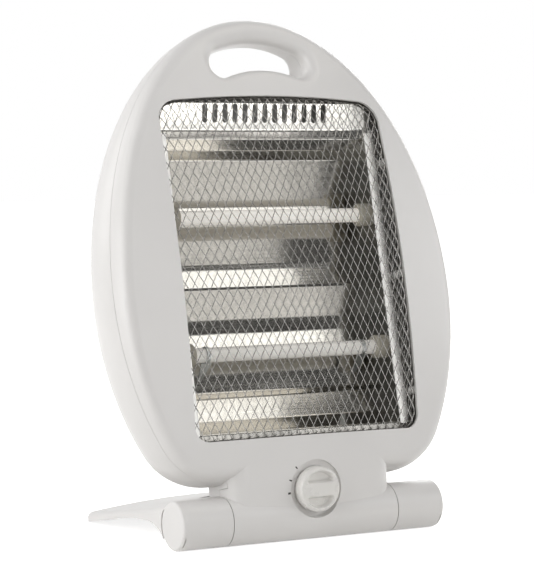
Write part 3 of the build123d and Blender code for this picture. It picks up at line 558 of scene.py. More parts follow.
# %% [markdown]
# ## The grille, folded over its tray
# The real sheet is pressed into a shallow tray: it bulges in the middle, follows the domed casing
# at its edges, and turns back behind the opening to a flat rim that is screwed down. The flat
# lattice is laid on the tray's solid by casting rays at it from the front, and what lies outside
# the opening is bent round the edge and down the wall. A signed distance to the rounded outline
# says how far outside a point is, and in which direction.

# %% Outline of the tray
RIM_WIDTH = 6.0 * MM
WALL_INSET = 0.9 * MM
TOP_ARCH = 2.4 * MM
TOP_CORNER = 16 * MM - WALL_INSET
LOW_CORNER = 10 * MM - WALL_INSET
NO_REACH = 1e-9  # stands in for a distance of nothing, so that nothing is divided by it

rim_low, rim_high = leaning_box("grille_mesh")
half_width = rim_high[0] - RIM_WIDTH - WALL_INSET
tray_low = rim_low[1] + RIM_WIDTH + WALL_INSET
tray_high = rim_high[1] - RIM_WIDTH - WALL_INSET - TOP_ARCH
tray_middle = (tray_low + tray_high) / 2
rim_back = rim_low[2]


def outside_by(points):
    """How far flat points lie outside the tray's outline, and the way out."""
    across, height = points[:, 0], points[:, 1]
    upper = height > tray_middle
    corner = np.where(upper, TOP_CORNER, LOW_CORNER)
    straight = half_width - TOP_CORNER
    arch = np.where(upper, TOP_ARCH * np.clip(1 - (across / straight) ** 2, 0, 1), 0)
    past_side = np.abs(across) - (half_width - corner)
    past_end = np.abs(height - tray_middle) - ((tray_high - tray_low) / 2 + arch - corner)
    in_corner = (past_side > 0) & (past_end > 0)
    reach = np.hypot(past_side, past_end)
    distance = np.where(in_corner, reach, np.maximum(past_side, past_end)) - corner
    divisor = np.maximum(reach, NO_REACH)
    way_side = np.where(in_corner, past_side / divisor, past_side > past_end)
    way_end = np.where(in_corner, past_end / divisor, past_side <= past_end)
    way = np.stack([way_side * np.sign(across), way_end * np.sign(height - tray_middle)], 1)
    return distance, way


print("tray from", round(tray_low, 4), "to", round(tray_high, 4), "half", round(half_width, 4))

# %% Fold the lattice over the tray
EDGE_BEND = 4.0 * MM
SHEET = 0.8 * MM
LOOSE_EDGE = 24 * MM

tray_surface = leaning_surface("grille_mesh")


def fold_over_tray(points):
    """Flat points laid on the tray: those past its edge are bent back down its wall."""
    distance, way = outside_by(points)
    past = np.maximum(distance + EDGE_BEND, 0)
    bend = np.minimum(past / EDGE_BEND, math.pi / 2)
    base = points[:, :2] - way * past[:, None]
    flat = base + way * (EDGE_BEND * np.sin(bend))[:, None]
    fall = EDGE_BEND * (1 - np.cos(bend)) + np.maximum(past - EDGE_BEND * math.pi / 2, 0)
    fronts = np.array([front_of(tray_surface, *place).z for place in base])
    return np.column_stack([flat, fronts - SHEET / 2 - fall])


strand_count = 2 * round(2 * (half_width + LOOSE_EDGE) / DIAMOND_WIDTH)
side_count = 2 * round((tray_high - tray_low + 2 * LOOSE_EDGE) / DIAMOND_HEIGHT)
flat_sheet = grow(
    zigzag_tree,
    mesh_of("strand_host", []),
    {
        "Strands": strand_count,
        "Points": side_count * STEPS_PER_SIDE + 1,
        "Half Width": DIAMOND_WIDTH / 2,
        "Half Height": DIAMOND_HEIGHT / 2,
        "Step": DIAMOND_HEIGHT / 2 / STEPS_PER_SIDE,
    },
)
flat_points = np.array([vertex.co for vertex in flat_sheet.vertices])
flat_points[:, 0] -= strand_count * DIAMOND_WIDTH / 4
flat_points[:, 1] += tray_middle - side_count * DIAMOND_HEIGHT / 4
folded = fold_over_tray(flat_points)
kept = (folded[:, 2] > rim_back) & (outside_by(flat_points)[0] < LOOSE_EDGE)
renumbered = np.cumsum(kept) - 1
strand_edges = [
    (renumbered[edge.vertices[0]], renumbered[edge.vertices[1]])
    for edge in flat_sheet.edges
    if kept[edge.vertices[0]] and kept[edge.vertices[1]]
]
strand_lines = mesh_of("strand_lines", folded[kept], strand_edges)
print(strand_count, "strands,", len(strand_edges), "short lengths of wire")

# %% [markdown]
# ## Wire from lines
# Any set of lines becomes wire in the same way: the lines turn into curves, and a small ring is
# swept along them. The ring has few sides, since a strand is less than a pixel or two wide, but the
# mesh has thousands of lengths of it.

# %% Sweep the strands
STRAND_RADIUS = 0.3 * MM
STRAND_SIDES = 4


def sweep(add, curve, sides, radius):
    """Sweep a small ring along a curve."""
    ring = add("GeometryNodeCurvePrimitiveCircle", {"Resolution": sides, "Radius": radius})
    inputs = {"Curve": curve, "Profile Curve": ring, "Fill Caps": True}
    return add("GeometryNodeCurveToMesh", inputs)


wire_tree, add, given = start_tree(
    "drawn_wire", Int=["Sides"], Float=["Radius"], Material=["Material"]
)
curves = add("GeometryNodeMeshToCurve", {"Mesh": given["Geometry"]})
swept = sweep(add, curves, given["Sides"], given["Radius"])
end_tree(add, given, swept)

grille_wire = grow(
    wire_tree,
    strand_lines,
    {"Radius": STRAND_RADIUS, "Sides": STRAND_SIDES, "Material": plated_wire},
)
grille_wire.transform(leaning)
diamond_grille = add_piece("diamond_grille", grille_wire, "casing")
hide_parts("grille_mesh")

# %% [markdown]
# ## The grille's rim
# Behind the opening the tray ends in a flat rim, hidden from the front, which the screwed posts
# hold. It is a ring of sheet, so two outlines at two depths, joined by faces, make it.

# %% Rim ring
CORNER_STEPS = 8
ARCH_STEPS = 12


def tray_outline(grow_by):
    """Closed outline of the tray, let out by a distance, from its lower right corner."""
    wide = half_width + grow_by
    low = tray_low - grow_by
    high = tray_high + grow_by
    points = []
    for side, end, start in ((1, 0, -90), (1, 1, 0), (-1, 1, 90), (-1, 0, 180)):
        radius = (TOP_CORNER if end else LOW_CORNER) + grow_by
        centre = (side * (wide - radius), (high - radius) if end else (low + radius))
        for step in range(CORNER_STEPS + 1):
            turn = math.radians(start + 90 * step / CORNER_STEPS)
            corner = (centre[0] + radius * math.cos(turn), centre[1] + radius * math.sin(turn))
            points.append(corner)
        if (side, end) == (1, 1):
            for step in range(1, ARCH_STEPS):
                share = 1 - 2 * step / ARCH_STEPS
                points.append((centre[0] * share, high + TOP_ARCH * (1 - share**2)))
    return points


outlines = tray_outline(-SHEET), tray_outline(RIM_WIDTH + WALL_INSET)
ring_points = [
    (*point, rim_back + layer * SHEET)
    for layer in (1, 2)
    for outline in outlines
    for point in outline
]
count = len(outlines[0])
ring_faces = []
for step in range(count):
    ends = (step, (step + 1) % count)
    a, b, c, d, e, f, g, h = (line * count + end for line in range(4) for end in ends)
    ring_faces += [(a, b, d, c), (e, g, h, f), (a, e, f, b), (c, d, h, g)]
rim_ring = mesh_of("grille_rim", ring_points, faces=ring_faces, material=plated_wire)
rim_ring.transform(leaning)
add_piece("grille_rim", rim_ring, "casing")

# %% [markdown]
# ## The folded reflector
# The solid reflector is bent in two smooth troughs. In the photograph its reflections are bands
# with sharp borders, which is what sheet folded on a press brake gives: flats that each mirror one
# patch of the room, with a tight bend between them. So the sheet is drawn again from its folds,
# which lie near the solid's curve, with each bend rounded a little. The vent plate at its top
# slopes forward and is rounded at its corners to fit inside the tray.

# %% Sheet from its folds
FOLDS_MM = (
    (45.3, 7.6), (57.5, 7.6), (67.0, -4.4), (83.5, -11.8), (88.0, -19.2), (118.5, -21.9),
    (128.5, -21.6), (138.0, -20.2), (159.0, -14.0), (172.0, -18.2), (176.5, -19.3), (206.0, -21.7),
    (217.0, -20.0), (247.5, -7.8), (252.0, 1.0), (259.0, 7.3), (264.7, 7.5), (282.6, 12.5),
)
BEND_REACH = 0.9 * MM
BEND_STEPS = 3
SHEET_METAL = 0.5 * MM
PLATE_ROWS = 8
PLATE_GAP = 1.6 * MM

reflector_half = leaning_box("reflector")[1][0]


def tray_half_width(height):
    """Half of the tray's inside width at a height near its top."""
    above = max(height - (tray_high - TOP_CORNER), 0)
    return half_width - TOP_CORNER + math.sqrt(max(TOP_CORNER**2 - above**2, 0)) - PLATE_GAP


folds = [Vector((height, depth)) * MM for height, depth in FOLDS_MM]
section = [folds[0]]
for before, fold, after in zip(folds, folds[1:], folds[2:]):
    start = fold + (before - fold).normalized() * BEND_REACH
    end = fold + (after - fold).normalized() * BEND_REACH
    for step in range(BEND_STEPS + 1):
        share = step / BEND_STEPS
        section.append(start * (1 - share) ** 2 + fold * 2 * share * (1 - share) + end * share**2)
plate_foot = section[-1]
section += [plate_foot.lerp(folds[-1], row / PLATE_ROWS) for row in range(1, PLATE_ROWS + 1)]
points, faces = [], []
for height, depth in section:
    on_plate = height > folds[-2].x
    side = min(reflector_half, tray_half_width(height)) if on_plate else reflector_half
    for layer in (0, SHEET_METAL):
        points += [(-side, height, depth - layer), (side, height, depth - layer)]
for row in range(len(section) - 1):
    a = 4 * row
    faces += [(a, a + 1, a + 5, a + 4), (a + 2, a + 6, a + 7, a + 3)]
    faces += [(a, a + 4, a + 6, a + 2), (a + 1, a + 3, a + 7, a + 5)]
last = 4 * (len(section) - 1)
faces += [(0, 2, 3, 1), (last, last + 1, last + 3, last + 2)]
plain_sheet = mesh_of("plain_sheet", points, faces=faces)
print("plain sheet of", len(folds), "folds has", len(faces), "faces")

# %% [markdown]
# ## Slots of the vent plate
# The plate has a row of upright slots with round ends. They are punched: one cutter is copied
# along a line and taken out of the sheet. The cutter is a cylinder whose two halves are pushed
# apart, which gives the round ends and the straight sides at once.

# %% Tree of the punched slots
CUTTER_SIDES = 20
CUTTER_DEPTH = 6 * MM

slot_tree, add, given = start_tree(
    "punched_slots",
    Int=["Count"],
    Float=["Pitch", "Width", "Length", "Height", "Depth", "Slope"],
    Material=["Material"],
)
width, length, pitch = given["Width"], given["Length"], given["Pitch"]
end_radius = add("ShaderNodeMath", {0: width, 1: 0.5}, operation="MULTIPLY")
drill = add(
    "GeometryNodeMeshCylinder",
    {"Vertices": CUTTER_SIDES, "Radius": end_radius, "Depth": CUTTER_DEPTH},
)
straight = add("ShaderNodeMath", {0: length, 1: width}, operation="SUBTRACT")
half_straight = add("ShaderNodeMath", {0: straight, 1: 0.5}, operation="MULTIPLY")
spot = add("ShaderNodeSeparateXYZ", {0: add("GeometryNodeInputPosition")}).outputs
which_half = add("ShaderNodeMath", {0: spot["Y"]}, operation="SIGN")
push = add("ShaderNodeMath", {0: which_half, 1: half_straight}, operation="MULTIPLY")
apart = add("ShaderNodeCombineXYZ", {"Y": push})
cutter = add("GeometryNodeSetPosition", {"Geometry": drill, "Offset": apart})
gaps = add("ShaderNodeMath", {0: given["Count"], 1: -1.0}, operation="ADD")
row_length = add("ShaderNodeMath", {0: gaps, 1: pitch}, operation="MULTIPLY")
row_start = add("ShaderNodeMath", {0: row_length, 1: -0.5}, operation="MULTIPLY")
first = add("ShaderNodeCombineXYZ", {"X": row_start, "Y": given["Height"], "Z": given["Depth"]})
step = add("ShaderNodeCombineXYZ", {"X": pitch})
row = add(
    "GeometryNodeMeshLine",
    {"Count": given["Count"], "Start Location": first, "Offset": step},
)
turn = add("ShaderNodeCombineXYZ", {"X": given["Slope"]})
cutters = add("GeometryNodeInstanceOnPoints", {"Points": row, "Instance": cutter, "Rotation": turn})
real_cutters = add("GeometryNodeRealizeInstances", {"Geometry": cutters})
punched = add(
    "GeometryNodeMeshBoolean",
    {"Mesh 1": given["Geometry"], "Mesh 2": real_cutters},
    operation="DIFFERENCE",
)
end_tree(add, given, punched)

# %% Punch the sheet
SLOTS = {"Count": 13, "Pitch": 7.8 * MM, "Width": 4.2 * MM, "Length": 13.2 * MM}
SLOT_HEIGHT = 276.1 * MM

plate_run = folds[-1] - folds[-2]
slot_share = (SLOT_HEIGHT - folds[-2].x) / plate_run.x
sheet_mesh = grow(
    slot_tree,
    plain_sheet,
    {
        **SLOTS,
        "Height": SLOT_HEIGHT,
        "Depth": folds[-2].y + slot_share * plate_run.y,
        "Slope": math.atan2(plate_run.y, plate_run.x),
        "Material": polished_aluminium_with_painted_brightness,
    },
)
sheet_mesh.transform(leaning)
folded_reflector = add_piece("folded_reflector", sheet_mesh, "casing")
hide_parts("reflector")

# %% [markdown]
# ## Hemmed edges beside the tubes
# The folded front edge of each end plate is a pale strip some 7 mm wide that runs up beside the
# dark inside. A flattened ring at the foot and one at the head, joined by faces, make it.

# %% Hems of the end plates
HEM_WIDTH = 7.4 * MM
HEM_THICKNESS = 2.0 * MM
HEM_PLACE = 81.8 * MM
HEM_FRONT = 9.9 * MM
HEM_RANGE = (56 * MM, 262 * MM)
HEM_SIDES = 20

hem_points, hem_faces = [], []
for side in (-1, 1):
    start = len(hem_points)
    for height in HEM_RANGE:
        for step in range(HEM_SIDES):
            turn = 2 * math.pi * step / HEM_SIDES
            across = side * HEM_PLACE + HEM_WIDTH / 2 * math.cos(turn)
            hem_points.append((across, height, HEM_FRONT + HEM_THICKNESS / 2 * math.sin(turn)))
    foot = [start + step for step in range(HEM_SIDES)]
    head = [start + HEM_SIDES + step for step in range(HEM_SIDES)]
    for step in range(HEM_SIDES):
        after = (step + 1) % HEM_SIDES
        hem_faces.append((foot[step], head[step], head[after], foot[after]))
    hem_faces += [foot, head[::-1]]
hems = mesh_of("end_plate_hems", hem_points, faces=hem_faces, material=burnished_hem)
hems.transform(leaning)
add_piece("end_plate_hems", hems, "casing")

# %% [markdown]
# ## Heating coils
# Inside each tube lies a coil of thin resistance wire, wound at an even pitch, with a straight
# lead at each end. A spiral curve gives the turns. The ends of the turns and the leads are taken
# from the plain rod that stands in for the coil.

# %% Tree of a wound coil
COIL_WIRE_SIDES = 6
POINTS_PER_TURN = 14

coil_tree, add, given = start_tree(
    "wound_coil", Float=["Radius", "Length", "Turns", "Lead", "Wire"], Material=["Material"]
)
radius, length = given["Radius"], given["Length"]
spiral = add(
    "GeometryNodeCurveSpiral",
    {
        "Resolution": POINTS_PER_TURN,
        "Rotations": given["Turns"],
        "Start Radius": radius,
        "End Radius": radius,
        "Height": length,
    },
)
half = add("ShaderNodeMath", {0: length, 1: -0.5}, operation="MULTIPLY")
centred = add("ShaderNodeCombineXYZ", {"Z": half})
coil = add("GeometryNodeTransform", {"Geometry": spiral, "Translation": centred})
parts = [coil]
for side in (-1, 1):
    near = add("ShaderNodeMath", {0: length, 1: side * 0.5}, operation="MULTIPLY")
    far = add("ShaderNodeMath", {0: given["Lead"], 1: side}, operation="MULTIPLY")
    start = add("ShaderNodeCombineXYZ", {"X": radius, "Z": near})
    end = add("ShaderNodeCombineXYZ", {"Z": far})
    parts.append(add("GeometryNodeCurvePrimitiveLine", {"Start": start, "End": end}))
joined = add("GeometryNodeJoinGeometry")
for part in parts:
    feed(joined, {"Geometry": part})
swept = sweep(add, joined, COIL_WIRE_SIDES, given["Wire"])
end_tree(add, given, swept)

# %% Wind both coils
COIL_WIRE_RADIUS = 0.35 * MM
TURN_PITCH = 1.9 * MM
TURNS_REACH = 0.9  # the rod's turns reach further from its middle than this share, its leads less

for level in ("upper", "lower"):
    rod = f"heating_coil_{level}"
    points = leaning_points(rod)
    low, high = points.min(0), points.max(0)
    centre = (low + high) / 2
    away = np.hypot(points[:, 1] - centre[1], points[:, 2] - centre[2])
    radius = away.max()
    half_length = points[away > TURNS_REACH * radius][:, 0].max()
    wound = grow(
        coil_tree,
        mesh_of("coil_host", []),
        {
            "Radius": radius - COIL_WIRE_RADIUS,
            "Length": 2 * half_length,
            "Turns": 2 * half_length / TURN_PITCH,
            "Lead": high[0],
            "Wire": COIL_WIRE_RADIUS,
            "Material": resistance_wire,
        },
    )
    lengthways = Matrix.Rotation(math.pi / 2, 4, "Y")
    wound.transform(leaning @ Matrix.Translation(Vector(centre)) @ lengthways)
    piece = add_piece(f"wound_coil_{level}", wound, "casing")
    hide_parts(rod)

# %% [markdown]
# ## Screws
# Eight long screws hold the shells together from behind, and six short ones hold the grille. Each
# is a plain pin in the solids. Here one tree makes a screw with a domed head, a cross recess and a
# thread, and copies it to points, which are the middles of the solid pins. The thread is a spiral
# with a three-cornered section round a core, and the recess is cut with two small blocks.

# %% Core and thread of a screw
CORE_SHARE = 0.78  # of the shank's radius, as are the next two
CREST_SHARE = 0.82
CORNER_SHARE = 0.18
CORE_SIDES = 16
THREAD_STEPS = 12
THREAD_CORNERS = 3

screw_tree, add, given = start_tree(
    "cross_head_screws",
    Float=["Shank", "Length", "Pitch", "Head", "Head Height"],
    Material=["Material"],
)
shank, length = given["Shank"], given["Length"]
core_radius, crest_radius, corner_radius, half = (
    add("ShaderNodeMath", {0: size, 1: share}, operation="MULTIPLY")
    for size, share in (
        (shank, CORE_SHARE),
        (shank, CREST_SHARE),
        (shank, CORNER_SHARE),
        (length, 0.5),
    )
)
core = add(
    "GeometryNodeMeshCylinder", {"Vertices": CORE_SIDES, "Radius": core_radius, "Depth": length}
)
raise_core = add("ShaderNodeCombineXYZ", {"Z": half})
core_up = add("GeometryNodeTransform", {"Geometry": core, "Translation": raise_core})
turns = add("ShaderNodeMath", {0: length, 1: given["Pitch"]}, operation="DIVIDE")
crest = add(
    "GeometryNodeCurveSpiral",
    {
        "Resolution": THREAD_STEPS,
        "Rotations": turns,
        "Start Radius": crest_radius,
        "End Radius": crest_radius,
        "Height": length,
    },
)
thread = sweep(add, crest, THREAD_CORNERS, corner_radius)
print(len(screw_tree.nodes), "nodes so far")

# %% Head and recess of a screw, and its copies
RECESS_LENGTH = 1.1  # of the head's radius, as is the next
RECESS_WIDTH = 0.26
HEAD_GRID = {"Segments": 24, "Rings": 16}

wide, tall = given["Head"], given["Head Height"]
head_size = add("ShaderNodeCombineXYZ", {"X": wide, "Y": wide, "Z": tall})
ball = add("GeometryNodeMeshUVSphere", {**HEAD_GRID, "Radius": 1.0})
spot = add("ShaderNodeSeparateXYZ", {0: add("GeometryNodeInputPosition")}).outputs
below = add("ShaderNodeMath", {0: spot["Z"], 1: 0.0}, operation="MINIMUM")
flattened = add("ShaderNodeCombineXYZ", {"X": spot["X"], "Y": spot["Y"], "Z": below})
dome = add("GeometryNodeSetPosition", {"Geometry": ball, "Position": flattened})
head = add("GeometryNodeTransform", {"Geometry": dome, "Scale": head_size})
slot_long, slot_wide, slot_sink = (
    add("ShaderNodeMath", {0: size, 1: share}, operation="MULTIPLY")
    for size, share in ((wide, RECESS_LENGTH), (wide, RECESS_WIDTH), (tall, -1.0))
)
slot_place = add("ShaderNodeCombineXYZ", {"Z": slot_sink})
recessed = add("GeometryNodeMeshBoolean", {"Mesh 1": head}, operation="DIFFERENCE")
for turn in (0.0, math.pi / 2):
    bar_size = add("ShaderNodeCombineXYZ", {"X": slot_long, "Y": slot_wide, "Z": tall})
    bar = add("GeometryNodeMeshCube", {"Size": bar_size})
    inputs = {"Geometry": bar, "Translation": slot_place, "Rotation": (0, 0, turn)}
    feed(recessed, {"Mesh 2": add("GeometryNodeTransform", inputs)})
screw = add("GeometryNodeJoinGeometry")
for part in (core_up, thread, recessed):
    feed(screw, {"Geometry": part})
copies = add("GeometryNodeInstanceOnPoints", {"Points": given["Geometry"], "Instance": screw})
end_tree(add, given, copies)

# %% Screws in place of the pins
SCREW_SETS = {
    "shell_screws": {
        "Shank": 1.75 * MM, "Pitch": 1.4 * MM, "Head": 3.4 * MM, "Head Height": 2.4 * MM
    },
    "grille_screws": {
        "Shank": 1.1 * MM, "Pitch": 0.9 * MM, "Head": 2.2 * MM, "Head Height": 1.3 * MM
    },
}


def pin_middles(node, spread):
    """Middle of each separate pin of a node, across and up, found by grouping near corners."""
    left = leaning_points(node)
    middles = []
    while len(left):
        near = np.hypot(left[:, 0] - left[0, 0], left[:, 1] - left[0, 1]) < spread
        group = left[near]
        middles.append((group.min(0) + group.max(0)) / 2)
        left = left[~near]
    return np.array(middles)


for pins, sizes in SCREW_SETS.items():
    low, high = leaning_box(pins)
    middles = pin_middles(pins, 3 * sizes["Head"])
    seat = low[2] + sizes["Head Height"]
    middles[:, 2] = seat
    values = {**sizes, "Length": high[2] - seat, "Material": zinc_steel}
    made = grow(screw_tree, mesh_of("screw_host", middles), values)
    made.transform(leaning)
    piece = add_piece(f"cross_head_{pins}", made, "casing")
    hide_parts(pins)
    print(pins, len(middles), "places")

# %% [markdown]
# ## Marks round the knob
# Three short ticks are printed on the casing at the knob's left, one for off and one for each
# tube, and the lowest is bolder. Print has next to no thickness, so each tick is a thin patch
# laid on the shell by casting rays at it, and lifted by a few hundredths of a millimetre.

# %% Printed ticks
TICK_TURNS = (134.5, 160.5, 184)
TICK_STARTS = (20.0 * MM, 19.7 * MM, 19.7 * MM)
TICK_WIDTHS = (0.9 * MM, 0.9 * MM, 1.4 * MM)
TICK_LENGTH = 2.0 * MM
TICK_STEPS = 5
INK_LIFT = 0.03 * MM

shell_surface = leaning_surface("front_shell")
knob_low, knob_high = leaning_box("control_knob")
knob_middle = Vector((knob_low + knob_high) / 2)
tick_points, tick_faces = [], []
for turn, start, width in zip(TICK_TURNS, TICK_STARTS, TICK_WIDTHS):
    along = Vector((math.cos(math.radians(turn)), math.sin(math.radians(turn)), 0))
    beside = Vector((-along.y, along.x, 0))
    first = len(tick_points)
    for step in range(TICK_STEPS):
        for side in (-0.5, 0.5):
            reach = start + TICK_LENGTH * step / (TICK_STEPS - 1)
            spot = knob_middle + along * reach + beside * side * width
            hit = front_of(shell_surface, spot.x, spot.y)
            tick_points.append((hit.x, hit.y, hit.z + INK_LIFT))
    for step in range(TICK_STEPS - 1):
        corner = first + 2 * step
        tick_faces.append((corner, corner + 2, corner + 3, corner + 1))
ticks = mesh_of("dial_ticks", tick_points, faces=tick_faces, material=tick_ink)
ticks.transform(leaning)
add_piece("dial_ticks", ticks, "casing")

# %% [markdown]
# ## The control knob
# The knob is moulded with a soft shoulder and two shallow finger pockets above and below a grip
# bar, all with rounded edges, where the solid has sharp ones. It is drawn as rings of points whose
# depth follows a rule: the shoulder falls away in a quarter circle, and a pocket sinks smoothly
# with the distance to its border. The joint turns it about the middle of the rings.

# %% Rule of the pockets
POCKET_REACH = 13.0 * MM
POCKET_HALF = 10.6 * MM
POCKET_FROM = 4.2 * MM
POCKET_DEPTH = 3.8 * MM
POCKET_SLOPE = 1.9 * MM
POCKET_ROUND = 2.6 * MM


def pocket_sink(across, up):
    """How far the knob's face sinks at a place, measured from its middle."""
    walls = (
        POCKET_HALF - abs(across),
        abs(up) - POCKET_FROM,
        POCKET_REACH - math.hypot(across, up),
    )
    corner = math.sqrt(sum(max(POCKET_ROUND - wall, 0) ** 2 for wall in walls))
    inside = POCKET_ROUND - corner if corner > 0 else min(walls)
    share = min(max(inside / POCKET_SLOPE, 0), 1)
    return POCKET_DEPTH * share * share * (3 - 2 * share)


print("pockets sink by", POCKET_DEPTH, "m at most")

# %% Soft knob
KNOB_RINGS = 44
KNOB_SPOKES = 96
KNOB_SHOULDER = 2.2 * MM
WALL_RINGS = 4

low, high = (Vector(corner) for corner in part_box("control_knob"))
middle = (low + high) / 2
knob_radius = (high.x - low.x) / 2
rings = []
for ring in range(1, KNOB_RINGS + 1):
    reach = knob_radius * ring / KNOB_RINGS
    into_shoulder = max(reach - (knob_radius - KNOB_SHOULDER), 0)
    fall = KNOB_SHOULDER - math.sqrt(max(KNOB_SHOULDER**2 - into_shoulder**2, 0))
    rings.append((reach, low.y + fall))
wall_top = rings[-1][1]
wall = high.y - wall_top
rings += [(knob_radius, wall_top + wall * row / WALL_RINGS) for row in range(1, WALL_RINGS + 1)]
points = [(middle.x, low.y, middle.z)]
for reach, depth in rings:
    for spoke in range(KNOB_SPOKES):
        turn = 2 * math.pi * spoke / KNOB_SPOKES
        across, up = reach * math.cos(turn), reach * math.sin(turn)
        sink = pocket_sink(across, up) if reach < knob_radius else 0
        points.append((middle.x + across, depth + sink, middle.z + up))
points.append((middle.x, high.y, middle.z))
back = len(points) - 1
last_ring = 1 + (len(rings) - 1) * KNOB_SPOKES
faces = []
for spoke in range(KNOB_SPOKES):
    after = (spoke + 1) % KNOB_SPOKES
    faces.append((0, 1 + spoke, 1 + after))
    faces.append((back, last_ring + after, last_ring + spoke))
    for ring in range(len(rings) - 1):
        inner, outer = 1 + ring * KNOB_SPOKES, 1 + (ring + 1) * KNOB_SPOKES
        faces.append((inner + spoke, outer + spoke, outer + after, inner + after))
knob_mesh = mesh_of("soft_knob", points, faces=faces, material=knob_abs)
knob_mesh.shade_smooth()
soft_knob = add_piece("soft_knob", knob_mesh, "knob")
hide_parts("control_knob")

# %% [markdown]
# ## Floor and light
# The heater stands on a plain pale floor that fades to white. The floor shows white to the camera,
# and to mirrors and glass, but lights the heater only as a pale matt floor would, and it keeps a
# soft shadow. Large soft lamps at the left, in front, at the right and above give the broad
# highlights of a product photograph, and two weaker ones behind keep the back from going dark.

# %% White floor
FLOOR_SIZE = 8.0
WHITE_FROM = 1.0
PALE_WITHIN = 0.2
PALE_SHINE = 0.78

floor_mesh = mesh_of(
    "floor",
    [(x * FLOOR_SIZE, y * FLOOR_SIZE, 0) for x, y in ((-1, -1), (1, -1), (1, 1), (-1, 1))],
    faces=[(0, 1, 2, 3)],
)
floor = put_in_scene("floor", floor_mesh)


def seen_by_eye_or_mirror(add):
    """Share that is 1 for camera, mirror and glass rays and 0 for the rest."""
    ray = add("ShaderNodeLightPath").outputs
    share = ray["Is Camera Ray"]
    for other in ("Is Glossy Ray", "Is Transmission Ray"):
        share = add("ShaderNodeMath", {0: share, 1: ray[other]}, operation="MAXIMUM")
    return share


floor_white, add, shader, place = start_material(
    "paper_floor_white",
    {"Base Color": colour("F2F1EF"), "Roughness": 0.9, "Emission Color": colour("FFFFFF")},
)
away = add("ShaderNodeVectorMath", {0: place}, operation="LENGTH")
fade = add(
    "ShaderNodeMapRange",
    {"Value": away, "From Min": PALE_WITHIN, "From Max": WHITE_FROM, "To Min": PALE_SHINE},
)
glow = add("ShaderNodeMath", {0: seen_by_eye_or_mirror(add), 1: fade}, operation="MULTIPLY")
feed(shader, {"Emission Strength": glow})
floor_mesh.materials.append(floor_white)
print("floor reaches", FLOOR_SIZE, "m to each side")

# %% World
WORLD_LIGHT = 0.2

world = bpy.data.worlds.new("studio")
bpy.context.scene.world = world
world.use_nodes = True
add = partial(add_node, world.node_tree)
strength = add(
    "ShaderNodeMapRange",
    {"Value": seen_by_eye_or_mirror(add), "To Min": WORLD_LIGHT, "To Max": 1.0},
)
feed(world.node_tree.nodes["Background"], {"Color": colour("FFFFFF"), "Strength": strength})
print("world lights at", WORLD_LIGHT)

# %% Soft lamps
LAMP_SIZE = 1.0
HEATER_MIDDLE = Vector((0, 0, 0.18))


def soft_lamp(name, place, power):
    """Square lamp, a metre wide, that faces the heater's middle."""
    lamp = bpy.data.lights.new(name, "AREA")
    lamp.size = LAMP_SIZE
    lamp.energy = power
    holder = put_in_scene(name, lamp)
    holder.location = place
    aim = HEATER_MIDDLE - Vector(place)
    holder.rotation_euler = aim.to_track_quat("-Z", "Y").to_euler()
    print(name, power, "W")


soft_lamp("lamp_left", (-1.8, -0.3, 0.6), 13.6)
soft_lamp("lamp_front", (0.0, -1.9, 0.7), 4.5)
soft_lamp("lamp_right", (1.65, -0.95, 0.8), 13.5)
soft_lamp("lamp_top_left", (-1.2, -0.2, 1.6), 6.8)
soft_lamp("lamp_behind_right", (1.2, 1.2, 0.9), 7.6)
soft_lamp("lamp_behind_left", (-1.2, 1.2, 0.9), 5.8)

# %% [markdown]
# ## Cards for the mirror
# A mirror shows what stands round it, so a photographer shapes its look with cards out of the
# picture: black ones for depth, grey and cream ones for a soft sheen, and white ones for a band of
# light. The same is done here. The cards are strips of a cylinder that lies along the heater's
# width, because a sheet whose folds run that way sends each of its flats to one angle round the
# cylinder. Each band of light ends at its own place across, and a black strip goes on from there.
# Two cards just above the floor show in the lowest flats. Only mirror rays see any of them, so
# they neither light nor shade anything.

# %% Finishes of the cards
def card_finish(name, code, strength):
    """Finish of a card that shines only by its own light."""
    shine = {
        "Base Color": colour("000000"),
        "Emission Color": colour(code),
        "Emission Strength": strength,
    }
    return start_material(name, shine)[0]


black_card = card_finish("card_black", "FFFFFF", 0.01)
grey_card = card_finish("card_grey", "FFFDF9", 1.2)
cream_card = card_finish("card_cream", "FFFAF0", 2.4)
white_card = card_finish("card_white", "FFFEFB", 2.6)

# %% Strips of the cylinder
CARD_RADIUS = 0.5
CARD_CENTRE = Vector((0, -0.05, 0.17))
CARD_STEP = 3.0
BAND_START = 0.05
FAR_RIGHT = 0.85
# Each row: name, right edge in metres, angles up in degrees, finish.
BANDS = (
    ("card_level", 0.38, (-16, -5), grey_card),
    ("card_low_band", 0.372, (-5, 8), black_card),
    ("card_bright_band", 0.385, (10.5, 22), white_card),
    ("card_lip_band", 0.345, (22.3, 37), black_card),
    ("card_middle", 0.318, (37, 47), grey_card),
    ("card_high_band", 0.345, (47, 58.5), black_card),
    ("card_upper", 0.322, (59.5, 67.5), white_card),
    ("card_overhead", 0.383, (68, 95), cream_card),
)


def show_in_mirrors(name, points, faces, finish):
    """Put a card in the scene that only reflections see."""
    card = put_in_scene(name, mesh_of(name, points, faces=faces, material=finish))
    card.visible_camera = False
    card.visible_diffuse = False
    card.visible_shadow = False
    card.visible_transmission = False


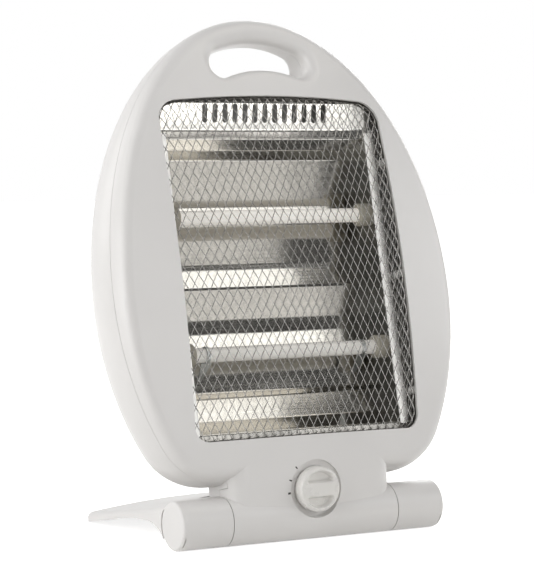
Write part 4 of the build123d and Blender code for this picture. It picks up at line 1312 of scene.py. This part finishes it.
def mirror_card(name, across, angles, finish):
    """Strip of the cylinder between two places across and two angles up."""
    steps = max(1, round((angles[1] - angles[0]) / CARD_STEP))
    points = []
    for step in range(steps + 1):
        angle = math.radians(angles[0] + (angles[1] - angles[0]) * step / steps)
        level = CARD_CENTRE + CARD_RADIUS * Vector((0, -math.cos(angle), math.sin(angle)))
        points += [(side, level.y, level.z) for side in across]
    faces = [(2 * s, 2 * s + 1, 2 * s + 3, 2 * s + 2) for s in range(steps)]
    show_in_mirrors(name, points, faces, finish)


for name, edge, angles, finish in BANDS:
    mirror_card(name, (BAND_START, edge), angles, finish)
    mirror_card(name + "_right", (edge, FAR_RIGHT), angles, black_card)
mirror_card("card_left", (-FAR_RIGHT, -0.10), (-20, 95), black_card)
print(2 * len(BANDS) + 1, "strips of the cylinder")

# %% Cards above the floor
FLOOR_CARD_DEPTH = (-0.22, -0.12)
CARD_LIFT = 0.6 * MM

for name, (left, right), finish in (
    ("card_floor_bright", (0.06, 0.131), cream_card),
    ("card_floor_dark", (0.134, 0.30), black_card),
):
    near, far = FLOOR_CARD_DEPTH
    corners = [(left, near), (right, near), (right, far), (left, far)]
    show_in_mirrors(name, [(*place, CARD_LIFT) for place in corners], [(0, 1, 2, 3)], finish)
    print(name, "from", left, "to", right, "m across")

# %% [markdown]
# ## Camera
# The camera stands where the photograph was taken from, to the left of the front and a little
# above. It was fitted to the casing's outline, the hinge barrel, the knob and the grille, and its
# place is given from the hinge axis.

# %% Camera
CAMERA_FROM_HINGE = Vector((-0.7730, -1.3179, 0.2508))
VIEW = Vector((0.49004, 0.86934, -0.06408))
SENSOR = 36.0
LENS = 153.84

camera_data = bpy.data.cameras.new("camera")
camera_data.sensor_fit = "HORIZONTAL"
camera_data.sensor_width = SENSOR
camera_data.lens = LENS
camera = put_in_scene("camera", camera_data)
camera.location = hinge + CAMERA_FROM_HINGE
camera.rotation_euler = VIEW.to_track_quat("-Z", "Y").to_euler()
bpy.context.scene.camera = camera
bpy.context.scene.view_settings.view_transform = "Standard"
print("camera at", [round(value, 4) for value in camera.location])
